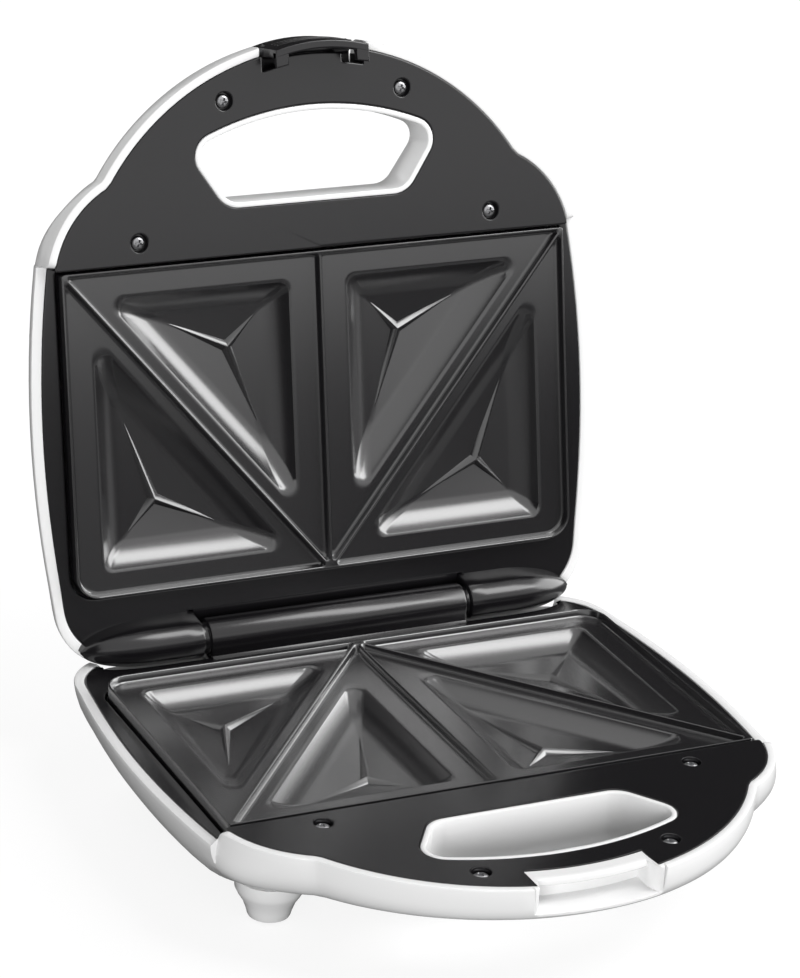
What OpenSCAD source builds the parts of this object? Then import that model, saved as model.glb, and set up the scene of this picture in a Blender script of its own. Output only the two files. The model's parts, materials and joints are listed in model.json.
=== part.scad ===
// Two-slice sandwich toaster: a clam shell with a base, a lid that leans back open,
// and a latch clip at the tip of the lid's handle.
// Each half is drawn face up in its own frame: the hinge axis is X through the
// origin, the parting plane is z = 0, the handle points to -Y and the half's body
// lies below z = 0. place_base() and place_lid() set the halves in the part's frame.

/* [Halves] */
// Width from the cooking plate's side edge to the widest line of the casing
plate_edge = 14; // [11:0.5:20]
// Radius of the bulging sides
side_r = 430; // [380:5:600]
// Distance from the hinge axis forward to the widest line
widest_y = 86; // [76:1:96]
// Distance that the casing reaches behind the hinge axis
body_back = 7.5; // [6.5:0.5:9]
// Radius of the two back corners in plan
corner_r = 25; // [18:1:34]
// Depth of one casing from the parting plane to its outside
body_t = 36; // [33:0.5:44]
// Radius that rounds the casing's sides into its outside
belly_r = 34; // [24:1:34]
// Wall thickness of the casings
wall = 2.4; // [2:0.1:3]
// Gap between the two closed halves
part_gap = 0.8; // [0.6:0.1:1.4]
// Drop of the casing rim beside the cooking plate
rim_drop = 5.1; // [4:0.1:6]
// Angle from closed to the open stop
open_angle = 101.7; // [95:0.1:106]

/* [Handle] */
// Set-in of the arched handle's radius from the widest line of the casing
dome_in = 15.3; // [12.5:0.1:20]
// Distance from the plate's front edge back to the arch's centre
dome_back = 23.3; // [18:0.1:26]
// Radius of the shoulders beside the arch
shoulder_r = 46; // [43:0.2:48]
// Set-in of the shoulders from the line of the casing's sides
shoulder_in = 3.4; // [2.6:0.1:4.2]
// Distance from the plate's front edge back to the shoulders' centres
shoulder_back = 6.3; // [3:0.1:9]
// Thickness of one half of the handle at its tip
tip_t = 14; // [12.5:0.5:18]
// Thickness of one half of the handle at the shoulders
shoulder_t = 23; // [20:0.5:28]
// Radius that rounds the handle's edge at its tip
tip_edge_r = 6; // [3:0.5:8]
// Width of the white rim round the handle panel
handle_rim = 3.3; // [2.6:0.1:4]
// Width of the white rim beside the cooking plate
side_rim = 4.5; // [3.6:0.1:5.5]

/* [Handle opening] */
// Width of the handle's bar beside the opening, measured to the arch's radius
bar_side = 55.7; // [50:0.5:60]
// Width that the opening gains on each side from its back edge to its widest line
grip_slant = 14; // [10:0.5:18]
// Distance from the cooking plate's front edge to the opening
grip_y = 19.7; // [17:0.1:24]
// Depth of the handle's bar between the opening and the tip
bar_d = 25.7; // [22.5:0.1:30]
// Radius of the opening's arched front edge
grip_front_r = 121; // [100:1:160]
// Corner radius of the opening
grip_r = 7; // [4:0.5:8]
// Wall of the collar that lines the opening
collar = 2.2; // [1.8:0.1:3]

/* [Panels] */
// Thickness of the black inner panels
panel_t = 2.6; // [2.2:0.1:3.2]
// Clearance between a panel and the casing's rim
panel_gap = 0.25; // [0.2:0.05:0.4]
// Clearance between the panel and the cooking plate
plate_gap = 1.1; // [0.6:0.1:1.8]
// Distance from the widest line of the casing to the outer pair of panel screws
screw_out_side = 46.1; // [42:0.1:50]
// Distance from the plate's front edge to the outer screws
screw_out_y = 9.4; // [8:0.1:12]
// Half spacing of the inner pair of panel screws
screw_in_x = 38; // [34:0.1:42]
// Distance from the handle's tip to the inner screws
screw_in_tip = 22; // [21:0.1:22.5]
// Diameter of a panel screw's head
screw_head_d = 5.6; // [5:0.1:6]
// Diameter of a panel screw's thread
screw_d = 2.9; // [2.5:0.1:3.2]
// Length of a panel screw under its head
screw_l = 8; // [6:0.5:9]
// Depth that the screw heads sit below the panel
screw_sink = 1; // [0.5:0.1:1.2]

/* [Cooking plates] */
// Width of a cooking plate over its lip
plate_w = 216; // [208:1:220]
// Depth of a cooking plate front to back
plate_d = 128.3; // [122:0.1:130]
// Distance from the hinge axis to the plate's back edge
plate_back = 21; // [20:0.5:24]
// Corner radius at the back of the plate
plate_r = 9.5; // [6:0.5:12]
// Height of the lip and the sealing ridges over the plate's floor
lip_h = 3; // [2.5:0.1:3.2]
// Run of the sloping inner side of the lip and ridges
lip_run = 2.1; // [1.6:0.1:2.6]
// Width of the flat crest of the lip and ridges
crest = 0.9; // [0.6:0.1:1.4]
// Thickness of the casting
cast_t = 2.6; // [2.2:0.1:3.4]
// Distance from the plate's side edge to the outer pockets
pocket_side = 12.3; // [11:0.1:14]
// Distance from the plate's front or back edge to the pockets
pocket_end = 11.1; // [10:0.1:13]
// Distance from a diagonal ridge's centre line to the pockets
pocket_diag = 6.4; // [5.6:0.1:8]
// Corner radius of the pockets
pocket_r = 4.6; // [3.6:0.1:6]
// Depth of a pocket's bowl below the plate's floor
bowl_depth = 6.9; // [5.5:0.1:7.5]
// Width of the bowl's curved wall
bowl_wall = 11; // [9:0.1:13]
// Further fall of the pocket's facets to its middle
facet_fall = 1.9; // [1.2:0.1:2.4]
// Height of the scoring star's crest over the foot of the bowl's wall
star_h = 0.4; // [0.2:0.1:0.8]
// Half width of the scoring star's arms at the middle
star_w = 2.4; // [1.6:0.1:3]

/* [Hinge] */
// Radius of the hinge barrel and knuckles
hinge_r = 7.8; // [7.2:0.1:8.2]
// Length of the base's centre barrel
barrel_l = 112; // [104:1:116]
// Gap between the barrel's ends and the knuckles
barrel_gap = 2.5; // [1.5:0.1:3.5]
// Distance from the knuckles' pointed ends to the widest line of the casing
knuckle_edge = 15; // [12:0.5:18]
// Length of the knuckles' tapered ends
taper_l = 29; // [20:0.5:34]
// Radius of the hinge pins
pin_r = 2; // [1.8:0.1:2.5]
// Running clearance of the hinge pins and the latch pin, on the radius
run_fit = 0.05; // [0.03:0.01:0.08]
// Length of a hinge pin inside the barrel and inside a knuckle
pin_reach = 14; // [10:1:18]
// Clearance round the barrel and the knuckles
swing_gap = 1; // [0.8:0.1:1.4]

/* [Latch] */
// Half width of the latch clip
clip_w = 21.3; // [19:0.1:23]
// Thickness of the clip's arched wall
clip_t = 3.2; // [2.6:0.1:3.6]
// Distance that the clip reaches past the parting plane of the lid
clip_reach = 7.4; // [6.6:0.1:8]
// Length of the clip's hooks towards the hinge
hook_l = 5; // [4.2:0.1:5.2]
// Width of each hook
hook_w = 5.3; // [4.5:0.1:6]
// Distance from the middle to each hook's centre
hook_x = 17.3; // [16.5:0.1:18]
// Height of the hooks' teeth
hook_h = 3; // [2.4:0.1:3.2]
// Distance of the latch pin behind the lid's panel face
clip_pin_z = 8.5; // [8:0.1:9.5]
// Radius of the latch pin
clip_pin_r = 1.5; // [1.2:0.1:1.6]
// Angle that the clip swings from released to locked
clip_swing = 17; // [14:0.5:18]
// Thickness of the ledge that the hooks pull on
ledge_t = 2.6; // [2.2:0.1:2.8]

/* [Feet] */
// Height from the underside of the base casing to the surface it stands on
foot_h = 8.5; // [7:0.5:12]
// Distance from the widest line of the casing to the feet's middles
foot_in = 34; // [30:1:42]
// Distance from the plate's front edge back to the front feet's middles
foot_front_in = 7.3; // [3:0.1:15]
// Distance from the hinge axis to the back feet
foot_back = 22; // [17:1:24]
// Diameter of a foot at the surface it stands on
foot_d = 16; // [14:0.5:18]
// Diameter of a foot where it leaves the casing
foot_top_d = 26; // [24:0.5:30]
// Diameter of a foot's rubber pad
pad_d = 10; // [8:0.5:12]

/* [Works] */
// Diameter of the tubular heating elements
heater_d = 6.6; // [6:0.1:8]
// Half spacing of a heating element's straight runs
heater_run = 27; // [22:1:30]
// Thickness of the reflector trays
tray_t = 0.6; // [0.5:0.1:1]
// Radius of the cord's hole through its bush
cord_r = 3.6; // [3:0.1:4]
// Distance of the cord bush from the middle
cord_x = 74; // [68:1:80]
// Radius of the pilot lamps' lenses
lens_r = 4; // [3.5:0.1:5]
// Half spacing of the pilot lamps
lens_x = 15; // [12:0.5:20]
// Distance from the hinge axis to the pilot lamps
lens_y = 112; // [104:1:118]

/* [Hidden] */

fine = 96;
mid = 48;
small = 24;
eps = 0.01;
far = 300;
white = "#f4f4f2";
black = "#262527";
cast_grey = "#3a393b";
steel = "#b8babd";

top_z = -part_gap / 2;                    // rim, lips and handle panel of each half
low_z = top_z - rim_drop;                 // rim and bezel beside the cooking plate
face_z = top_z - 0.15;                    // outer face of the handle panel
bezel_z = low_z - 0.15;                   // outer face of the bezel
floor_z = top_z - lip_h;                  // floor of the cooking plate
plate_front = plate_back + plate_d;
step_y = -plate_front - plate_gap - 1;    // line where the handle's rim drops to the side rim
rim_step = step_y - 1.2;                  // the same line on the casing, clear of the bezel
stand_z = body_t + foot_h;                // height of the parting plane over the table
tip_half = 3;                             // half width of the outline's last facet
out_w = plate_w / 2 + plate_edge;         // half width of the casing at its widest line
dome_r = out_w - dome_in;
dome_y = plate_front - dome_back;
shoulder_y = plate_front - shoulder_back;
handle_end = -dome_y - dome_r;
screw_out_x = out_w - screw_out_side;
knuckle_x = out_w - knuckle_edge;
taper_x = knuckle_x - taper_l;
foot_x = out_w - foot_in;
foot_front = plate_front - foot_front_in;

seat = 2.2;                               // width of the seat under a panel's edge
tip_block = 17;                           // depth of the solid block at the handle's tip
boss_r = 4.2;

// ---------- hinge clearances ------------------------------------------------------

swing_r = hinge_r + swing_gap;
shelf_z = -norm([body_back, low_z]) - 1.2; // top of the casings' back shelf
shelf_x = out_w - corner_r + 7;            // half width of the shelf
bezel_back = -sqrt(pow(swing_r, 2) - pow(bezel_z, 2)) - 0.3;
bezel_reach = -1;                          // the bezel's back edge beside the knuckles' points

// ---------- latch ------------------------------------------------------------------

edge_dome_r = dome_r - handle_rim;
clip_in_r = edge_dome_r + 0.5;            // inner face of the clip's arched wall
clip_out_r = clip_in_r + clip_t;
hook_in_r = clip_in_r - hook_l;
pivot_r = clip_in_r - 1.9;                // distance of the latch pin from the arch's centre
ledge_r = hook_in_r - 0.3;
notch_r = edge_dome_r - 11.6;             // back edge of the notch in the base's panel
notch_w = clip_w + 2.4;
ledge_z = face_z - 0.35;
hook_z = clip_reach - hook_h;
pin_half = clip_w + 2.6;                  // half length of the latch pin

// ---------- plan outlines -------------------------------------------------------

function arc(c, r, a0, a1, n) =
    [for (i = [0:n]) let (a = a0 + (a1 - a0) * i / n) [c.x + r * cos(a), c.y + r * sin(a)]];
function unit(v) = v / norm(v);
function smooth(u) = let (c = max(0, min(1, u))) c * c * (3 - 2 * c);
function side_x(w, r, y) = w - r + sqrt(r * r - pow(y + widest_y, 2));
function angle_of(c, p) = atan2(p.y - c.y, p.x - c.x);
// crossing of two circles that lies nearer the handle's tip
function cross_pt(c1, r1, c2, r2) =
    let (d = norm(c2 - c1), u = (c2 - c1) / d,
         a = (r1 * r1 - r2 * r2 + d * d) / (2 * d), h = sqrt(r1 * r1 - a * a))
    c1 + a * u + h * [u.y, -u.x];

// Right half of the casing's plan outline from the back to the tip, as [x, y, zone]:
// zone 0 is the back shelf, 1 the side rim, 2 the handle's rim and 3 its tip.
// A point where the zone changes is listed once for each.
side_c = [out_w - side_r, -widest_y];
corner_x = side_x(out_w, side_r, body_back - corner_r) - corner_r;
corner_c = [corner_x, body_back - corner_r];
shelf_a = acos((shelf_x - corner_x) / corner_r);
shoulder_c = [side_x(out_w, side_r, -shoulder_y) - shoulder_in - shoulder_r, -shoulder_y];
dome_c = [0, -dome_y];
kink = cross_pt(dome_c, dome_r, shoulder_c, shoulder_r);
step_a = asin((rim_step - shoulder_c.y) / shoulder_r);
tip_x = notch_w + 5;                      // half width of the solid block at the tip
function zoned(pts, z) = [for (p = pts) [p.x, p.y, z]];
side_y0 = corner_c.y - 8;
side_y1 = rim_step;
side_a0 = angle_of(side_c, [side_x(out_w, side_r, side_y0), side_y0]);
side_a1 = angle_of(side_c, [side_x(out_w, side_r, side_y1), side_y1]);
kink_a = angle_of(dome_c, kink);
rim_half = concat(
    zoned(arc(corner_c, corner_r, 90, shelf_a, 2), 0),
    zoned(arc(corner_c, corner_r, shelf_a, 7, 4), 1),
    zoned(arc(side_c, side_r, side_a0, side_a1, 5), 1),
    zoned(arc(shoulder_c, shoulder_r, step_a, angle_of(shoulder_c, kink), 5), 2),
    zoned(arc(dome_c, dome_r, kink_a - 5, -acos(tip_x / dome_r), 7), 2),
    zoned(arc(dome_c, dome_r, -acos(tip_x / dome_r), -90 + asin(tip_half / dome_r), 4), 3));
function both_sides(half) =
    concat(half, [for (i = [len(half) - 1:-1:0]) [-half[i].x, half[i].y]]);
function rim_w(p) = p.z > 1.5 ? handle_rim : side_rim;
// outline of the panels, grown by g; w is the handle's or the bezel's rim width
function panel_pts(w, g = 0) =
    both_sides([for (p = rim_half) let (q = flat2(p) + inward(p) * (w - g)) q]);
function flat2(p) = [p.x, p.y];

// ---------- casing as one loft -----------------------------------------------------

neck_y = -shoulder_y - 18;
function depth_at(y) =
    y < neck_y ? tip_t + (shoulder_t - tip_t) * (y - handle_end) / (neck_y - handle_end)
               : shoulder_t + (body_t - shoulder_t) * smooth((y - neck_y) / 34);
function round_at(y) =
    let (r = y < neck_y ? tip_edge_r + (shoulder_t - 5 - tip_edge_r) * (y - handle_end)
                          / (neck_y - handle_end)
                        : shoulder_t - 5 + (belly_r - shoulder_t + 5)
                          * smooth((y - neck_y) / 34))
    min(r, depth_at(y) - 1);
// direction in which the rounded edge moves in from an outline point
spine_x = out_w - 72;
spine_y = -body_back - 52;
function inward(p) =
    let (t = p.y > spine_y ? [min(p.x, spine_x), spine_y]
             : p.y > -shoulder_y ? [min(p.x, spine_x), p.y]
             : norm(flat2(p) - dome_c) < dome_r + 0.2 ? dome_c : shoulder_c)
    unit(t - flat2(p));
// Profile of the casing at an outline point, as [inset, z] from the middle of the
// outside round the rim to the middle of the inside
function profile(p) =
    let (z0 = p.z, t = depth_at(p.y), r = round_at(p.y),
         ti = t - wall, ri = max(1, r - wall),
         rim = z0 == 0 ? shelf_z : z0 == 1 ? low_z : top_z,
         w = z0 == 0 ? (p.y - bezel_back + 0.4 - panel_gap) / -inward(p).y : rim_w(p),
         under = z0 == 0 ? shelf_z - wall : (z0 == 1 ? bezel_z : face_z) - panel_t,
         ws = z0 == 0 ? w : z0 == 3 ? tip_block : w + seat,
         in0 = z0 == 0 ? wall : ws,
         a_shelf = shelf_z < r - t ? asin((r - t - shelf_z) / r) : 0,
         turns = [for (k = [0:5]) 90 + ((z0 < 2 ? a_shelf : 0) - 90) * k / 5],
         a_rim = z0 == 0 ? turns[5] : rim < r - t ? asin((r - t - rim) / r) : 0)
    concat([for (a = turns) [r * (1 - cos(a)), r - t - r * sin(a)]],
           [[r * (1 - cos(a_rim)), z0 == 0 ? r - t - r * sin(a_rim) : rim], [w, rim], [w, under + (z0 == 0 ? 0.6 : 0)],
            [ws, under]],
           [for (a = [0:22.5:90]) let (z = -(ti - ri) - ri * sin(a))
               [max(in0, wall + ri * (1 - cos(a))), min(z, under - 1 - a * 0.01)]]);
rim_profiles = [for (p = rim_half) profile(p)];
function ring(k) =
    let (half = [for (i = [0:len(rim_half) - 1])
                 let (p = rim_half[i], f = rim_profiles[i][k],
                      q = flat2(p) + inward(p) * f.x) [q.x, q.y, f.y]])
    concat(half, [for (i = [len(half) - 1:-1:0]) [-half[i].x, half[i].y, half[i].z]]);

// Solid through a stack of symmetric rings, closed by strips across its width
module loft(rings) {
    n = len(rings[0]);
    m = n / 2;
    last = (len(rings) - 1) * n;
    polyhedron(
        points = [for (r = rings) each r],
        faces = concat(
            [for (k = [0:len(rings) - 2], i = [0:n - 1])
                let (a = k * n + i, b = k * n + (i + 1) % n)
                each [[a, b, a + n], [a + n, b, b + n]]],
            [for (i = [0:m - 2])
                each [[n - i - 2, i + 1, i], [n - i - 1, n - i - 2, i]]],
            [for (i = [0:m - 2])
                each [[last + i, last + i + 1, last + n - i - 2],
                      [last + i, last + n - i - 2, last + n - i - 1]]]),
        convexity = 8);
}

// ---------- rings of a convex polygon with rounded corners -----------------------

// Corner i of the polygon v (anticlockwise), moved in by d and rounded to the radius r
function corner_arc(v, i, d, r, n) =
    let (k = len(v), p = v[i], e = unit(v[(i + 1) % k] - p), b = unit(v[(i + k - 1) % k] - p),
         half = acos(max(-1, min(1, e * b))) / 2, mid_dir = unit(e + b),
         c = p + mid_dir * (d + r) / sin(half),
         a0 = atan2(b.x, -b.y), turn = (atan2(-e.x, e.y) - a0 + 720) % 360)
    [for (j = [0:n]) let (a = a0 + turn * j / n) c + r * [cos(a), sin(a)]];
function round_ring(v, d, r, z, n = 4) =
    [for (i = [0:len(v) - 1], p = corner_arc(v, i, d, r[i], n)) [p.x, p.y, z]];
// Solid through rings of equal length, listed from the top down
module stack(rings) {
    n = len(rings[0]);
    last = (len(rings) - 1) * n;
    polyhedron(
        points = [for (r = rings) each r],
        faces = concat(
            [[for (i = [n - 1:-1:0]) i]],
            [for (k = [0:len(rings) - 2], i = [0:n - 1])
                let (a = k * n + i, b = k * n + (i + 1) % n)
                each [[a, b, b + n], [a, b + n, a + n]]],
            [[for (i = [0:n - 1]) last + i]]),
        convexity = 4);
}

// ---------- handle opening and screws --------------------------------------------

grip_y0 = -plate_front - grip_y;
grip_end = handle_end + bar_d;
grip_w = dome_r - bar_side;
grip_back_w = grip_w - grip_slant;
// outline of the opening, moved in by d
function grip_pts(d) =
    let (r = grip_r, fr = grip_front_r, fc = [0, grip_end + fr],
         wide = [grip_w - r, fc.y - sqrt(pow(fr - r, 2) - pow(grip_w - r, 2))],
         back = [grip_back_w - r, grip_y0 - r],
         slant = atan2(wide.x - back.x, back.y - wide.y),
         front_a = angle_of(fc, wide),
         half = concat(arc(back, r - d, 90, slant, 4),
                       arc(wide, r - d, slant, front_a, 6),
                       arc(fc, fr - d, front_a - 1, -91.5, 6)))
    both_sides([for (p = half) if (p.x > 0) p]);
module grip_hole(d) {
    translate([0, 0, -60]) linear_extrude(90) polygon(grip_pts(d));
}
screw_spots = [for (s = [-1, 1]) each [[s * screw_out_x, -plate_front - screw_out_y],
                                       [s * screw_in_x, handle_end + screw_in_tip]]];
module at_screws() { for (p = screw_spots) translate([p.x, p.y, 0]) children(); }
module at_feet() {
    for (s = [-1, 1], y = [-foot_front, -foot_back]) translate([s * foot_x, y, 0]) children();
}
screw_face_z = face_z - screw_sink - 1.8;  // underside of the panel screws' heads
boss_hole = screw_d / 2;

// ring segment about the arch's centre, cut to a half width about the middle
module sector(r0, r1, half_w, z0, z1) {
    intersection() {
        translate([0, -dome_y, z0]) difference() {
            cylinder(r = r1, h = z1 - z0, $fn = fine);
            translate([0, 0, -1]) cylinder(r = r0, h = z1 - z0 + 2, $fn = fine);
        }
        translate([-half_w, handle_end - 20, z0]) cube([2 * half_w, 60, z1 - z0]);
    }
}

// ---------- casings ---------------------------------------------------------------

core_z = shelf_z - wall;
post_x = plate_w / 2 - 24;
floor_in_z = -body_t + wall;
module half_shell() {
    difference() {
        union() {
            loft([for (k = [0:len(rim_profiles[0]) - 1]) ring(k)]);
            // collar round the opening, bosses for the screws, posts under the tray
            intersection() {
                translate([0, 0, -shoulder_t])
                    linear_extrude(shoulder_t + face_z - 0.1) polygon(grip_pts(0));
                rotate([90, 0, 90]) translate([0, 0, -far / 2]) linear_extrude(far)
                    polygon([[handle_end, 0.4 - tip_t], [neck_y, 0.4 - shoulder_t],
                             [neck_y, 5], [handle_end, 5]]);
            }
            for (p = screw_spots) {
                boss_z = -depth_at(p.y) + wall / 2;
                translate([p.x, p.y, boss_z])
                    cylinder(r = boss_r, h = screw_face_z - 1.4 - boss_z, $fn = mid);
            }
            for (s = [-1, 1]) translate([s * post_x, -plate_back - plate_d / 2, 0])
                translate([0, 0, floor_in_z - 1])
                cylinder(r = 5, h = tray_z - tray_t - floor_in_z + 1, $fn = mid);
        }
        grip_hole(collar);
        at_screws() translate([0, 0, screw_face_z - screw_l - 1])
            cylinder(r = boss_hole, h = 30, $fn = mid);
    }
}

function round_post(r, z) = [for (a = [0:15:345]) [r * cos(a + 7.5), r * sin(a + 7.5), z]];
cord_z = -21;
boss_back = 5.6;                         // end face of the boss round the cord's bush
foot_sink = 0.6;                        // pads stand this far out of the feet
foot_up = 8;                           // reach of the feet's cones above the casing's floor
module base_shell() color(white) place_base() difference() {
    union() {
        half_shell();
        at_feet() translate([0, 0, -stand_z + foot_sink])
            stack([round_post(foot_top_d / 2, foot_h + foot_up), round_post(foot_d / 2, 0)]);
        translate([cord_x, boss_back, cord_z]) rotate([90, 0, 0])
            cylinder(r = cord_r + 6, h = 11, $fn = mid);
    }
    // clear of the panel's notch above the ledge
    sector(notch_r, dome_r + 30, notch_w, ledge_z, 20);
    // room in front of the ledge for the clip, and below it for the hooks
    sector(ledge_r, dome_r + 30, clip_w + 0.8, -clip_reach - 2.6, 20);
    sector(ledge_r - hook_l - 1.4, dome_r + 30, clip_w + 0.8,
           -clip_reach - 2.6, ledge_z - ledge_t);
    translate([cord_x, 0, cord_z]) rotate([-90, 0, 0])
        cylinder(r = cord_r + 2.5, h = 40, center = true, $fn = mid);
    at_feet() translate([0, 0, -stand_z - 1]) cylinder(d = pad_d + 0.2, h = 3, $fn = mid);
    for (i = [-4:4]) translate([i * 9 - 1.5, -98, -body_t - 1]) cube([3, 34, wall + 2]);
}

clip_pin_y = -dome_y - pivot_r;
module lid_shell() color(white) place_lid() difference() {
    half_shell();
    // pocket of the latch clip
    sector(pivot_r - 3.4, dome_r + 30, clip_w + 0.7, -60, 20);
    translate([0, clip_pin_y, -clip_pin_z]) rotate([0, 90, 0])
        cylinder(r = clip_pin_r, h = 2 * pin_half, center = true, $fn = mid);
    // windows of the pilot lamps
    for (s = [-1, 1]) translate([s * lens_x, -lens_y, -body_t - 1])
        cylinder(r = lens_r, h = wall + 2, $fn = mid);
}

// ---------- panels -----------------------------------------------------------------

// part of the panel's outline between two distances from the hinge axis
module panel_band(w, y0, y1) {
    intersection() {
        polygon(panel_pts(w, -panel_gap));
        translate([-far, y0]) square([2 * far, y1 - y0]);
    }
}
panel_x = side_x(out_w, side_r, step_y) - shoulder_in - handle_rim - panel_gap - 2;

module half_panel() {
    difference() {
        union() {
            // handle panel with its skirt down to the bezel
            translate([0, 0, face_z - panel_t]) linear_extrude(panel_t)
                panel_band(handle_rim, handle_end - 5, rim_step - panel_gap);
            translate([-panel_x, rim_step - 2, face_z - panel_t])
                cube([2 * panel_x, step_y - rim_step + 2, panel_t]);
            translate([-panel_x + 0.6, step_y - 2, bezel_z - panel_t])
                cube([2 * panel_x - 1.2, 2.5, face_z - bezel_z + panel_t / 2]);
            // bezel round the plate
            translate([0, 0, bezel_z - panel_t]) linear_extrude(panel_t)
                panel_band(side_rim, step_y + 0.2, bezel_reach);
            // skirt along the hinge, down to the casing's shelf
            translate([-shelf_x + 1, bezel_back - 2.4, core_z])
                cube([2 * shelf_x - 2, 2, bezel_z - core_z - 0.5]);
            // wells that carry the screws' heads down to the casing's bosses
            at_screws() translate([0, 0, screw_face_z - 1.4])
                cylinder(d = screw_head_d + 4.2, h = face_z - screw_face_z + 0.6, $fn = mid);
        }
        translate([0, 0, -60]) linear_extrude(90)
            polygon([for (p = round_ring(plate_v, -plate_gap, plate_rr, 0, 6)) [p.x, p.y]]);
        grip_hole(-0.15);
        at_screws() {
            translate([0, 0, -20]) cylinder(r = screw_d / 2 + 0.2, h = 40, $fn = mid);
            translate([0, 0, screw_face_z]) cylinder(d = screw_head_d + 1.6, h = 20, $fn = mid);
        }
    }
}
module spin_x(x) { translate([x, 0, 0]) rotate([0, 90, 0]) children(); }

barrel_end = barrel_l / 2;
knuckle_in = barrel_end + barrel_gap;
module knuckle_room() {
    for (s = [-1, 1]) spin_x(s * knuckle_in) rotate([0, s < 0 ? 180 : 0, 0])
        knuckle_bullet(swing_gap + 0.3, knuckle_in);
}
module base_panel() color(black) place_base() difference() {
    union() {
        difference() {
            half_panel();
            knuckle_room();
        }
        spin_x(-barrel_end) cylinder(r = hinge_r, h = barrel_l, $fn = fine);
        for (s = [-1, 1]) spin_x(s * barrel_end - (s < 0 ? barrel_gap - 0.4 : 0))
            cylinder(r = hinge_r - 1.8, h = barrel_gap - 0.4, $fn = fine);
        // web that carries the barrel on the shelf
        translate([-barrel_end, bezel_back - 0.5, shelf_z]) cube([barrel_l, 10, -shelf_z]);
        translate([-barrel_end, -hinge_r, bezel_z - panel_t])
            cube([barrel_l, hinge_r, panel_t]);
    }
    // bores of the hinge pins
    for (s = [-1, 1]) spin_x(s > 0 ? barrel_end - pin_reach : -barrel_end - barrel_gap)
        cylinder(r = pin_r, h = pin_reach + barrel_gap, $fn = mid);
    sector(notch_r, dome_r + 30, notch_w, -20, 20);
}

// Knuckle: a barrel that runs out to a point along the hinge; grow makes the room it turns in
module knuckle_bullet(grow = 0, start = 0) {
    n = 8;
    len = knuckle_x - taper_x;
    rotate_extrude($fn = fine) polygon(concat(
        [[0, -start], [hinge_r + grow, -start]],
        [for (i = [0:n]) let (u = i / n)
            [hinge_r * sqrt(max(0.004, 1 - pow(u, 2.2))) + grow, taper_x - knuckle_in + len * u]],
        [[0, knuckle_x - knuckle_in + 0.3 + grow]]));
}
module lid_panel() color(black) place_lid() difference() {
    union() {
        difference() {
            half_panel();
            // relief over the base's barrel
            translate([-knuckle_in - 2, -swing_r - 1.6, -60]) cube([2 * knuckle_in + 4, 60, 80]);
        }
        for (s = [-1, 1]) spin_x(s * knuckle_in) rotate([0, s < 0 ? 180 : 0, 0])
            knuckle_bullet();
        for (s = [-1, 1]) hull() {
            translate([s > 0 ? knuckle_in : -taper_x, bezel_back - 1.9, bezel_z - panel_t])
                cube([taper_x - knuckle_in, 1, panel_t]);
            spin_x(s > 0 ? knuckle_in : -taper_x) rotate([0, 0, -45])
                translate([hinge_r - 2.6, 0, 0])
                cylinder(r = 2.2, h = taper_x - knuckle_in, $fn = 32);
        }
    }
    for (s = [-1, 1]) spin_x(s > 0 ? knuckle_in - 1 : -knuckle_in - pin_reach)
        cylinder(r = pin_r + run_fit, h = pin_reach + 1, $fn = mid);
    // relief for the clip and slots for its hooks
    sector(pivot_r - 1.1, dome_r + 30, clip_w + 0.9, -20, 20);
    difference() {
        sector(hook_in_r - 1.4, dome_r + 30, clip_w + 0.9, -20, 20);
        translate([-hook_x + hook_w - 0.2, -far, -30]) cube([2 * (hook_x - hook_w + 0.2), far, 60]);
    }
}

// ---------- cooking plates ------------------------------------------------------------

plate_v = [[-plate_w / 2, -plate_front], [plate_w / 2, -plate_front],
           [plate_w / 2, -plate_back], [-plate_w / 2, -plate_back]];
plate_rr = [1.2, 1.2, plate_r, plate_r];
hub = [0, -plate_back];
corner = [plate_w / 2, -plate_front];
diag = unit(corner - hub);
diag_n = [diag.y, -diag.x];              // points from the diagonal towards the middle
// crossing of the lines p.a = c and p.b = d
function meet(a, c, b, d) =
    let (k = a.x * b.y - a.y * b.x) [(c * b.y - d * a.y) / k, (a.x * d - b.x * c) / k];
// right inner triangle: bounded by the middle, the front edge and the diagonal
function inner_tri(m, e, g) =
    let (dd = hub * diag_n + g)
    [[m, -plate_front + e],
     meet([0, 1], -plate_front + e, diag_n, dd),
     meet([1, 0], m, diag_n, dd)];
// right outer triangle: bounded by the side edge, the back edge and the diagonal
function outer_tri(e, b, g) =
    let (dd = hub * diag_n - g)
    [[plate_w / 2 - e, -plate_back - b],
     meet([0, 1], -plate_back - b, diag_n, dd),
     meet([1, 0], plate_w / 2 - e, diag_n, dd)];
floor_in = inner_tri(crest / 2, crest, crest / 2);
floor_out = outer_tri(crest, crest, crest / 2);
pocket_in = inner_tri(pocket_side, pocket_end, pocket_diag);
pocket_out = outer_tri(pocket_side, pocket_end - 1.2, pocket_diag);
function side(v, s) = s > 0 ? v : [for (i = [len(v) - 1:-1:0]) [-v[i].x, v[i].y]];
function flip(r, s) = s > 0 ? r : [for (i = [len(r) - 1:-1:0]) r[i]];
function incentre(v) =
    let (a = norm(v[1] - v[2]), b = norm(v[2] - v[0]), c = norm(v[0] - v[1]))
    (a * v[0] + b * v[1] + c * v[2]) / (a + b + c);
function inradius(v) =
    let (a = norm(v[1] - v[2]), b = norm(v[2] - v[0]), c = norm(v[0] - v[1]),
         s = (a + b + c) / 2) sqrt((s - a) * (s - b) * (s - c) / s);

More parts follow.
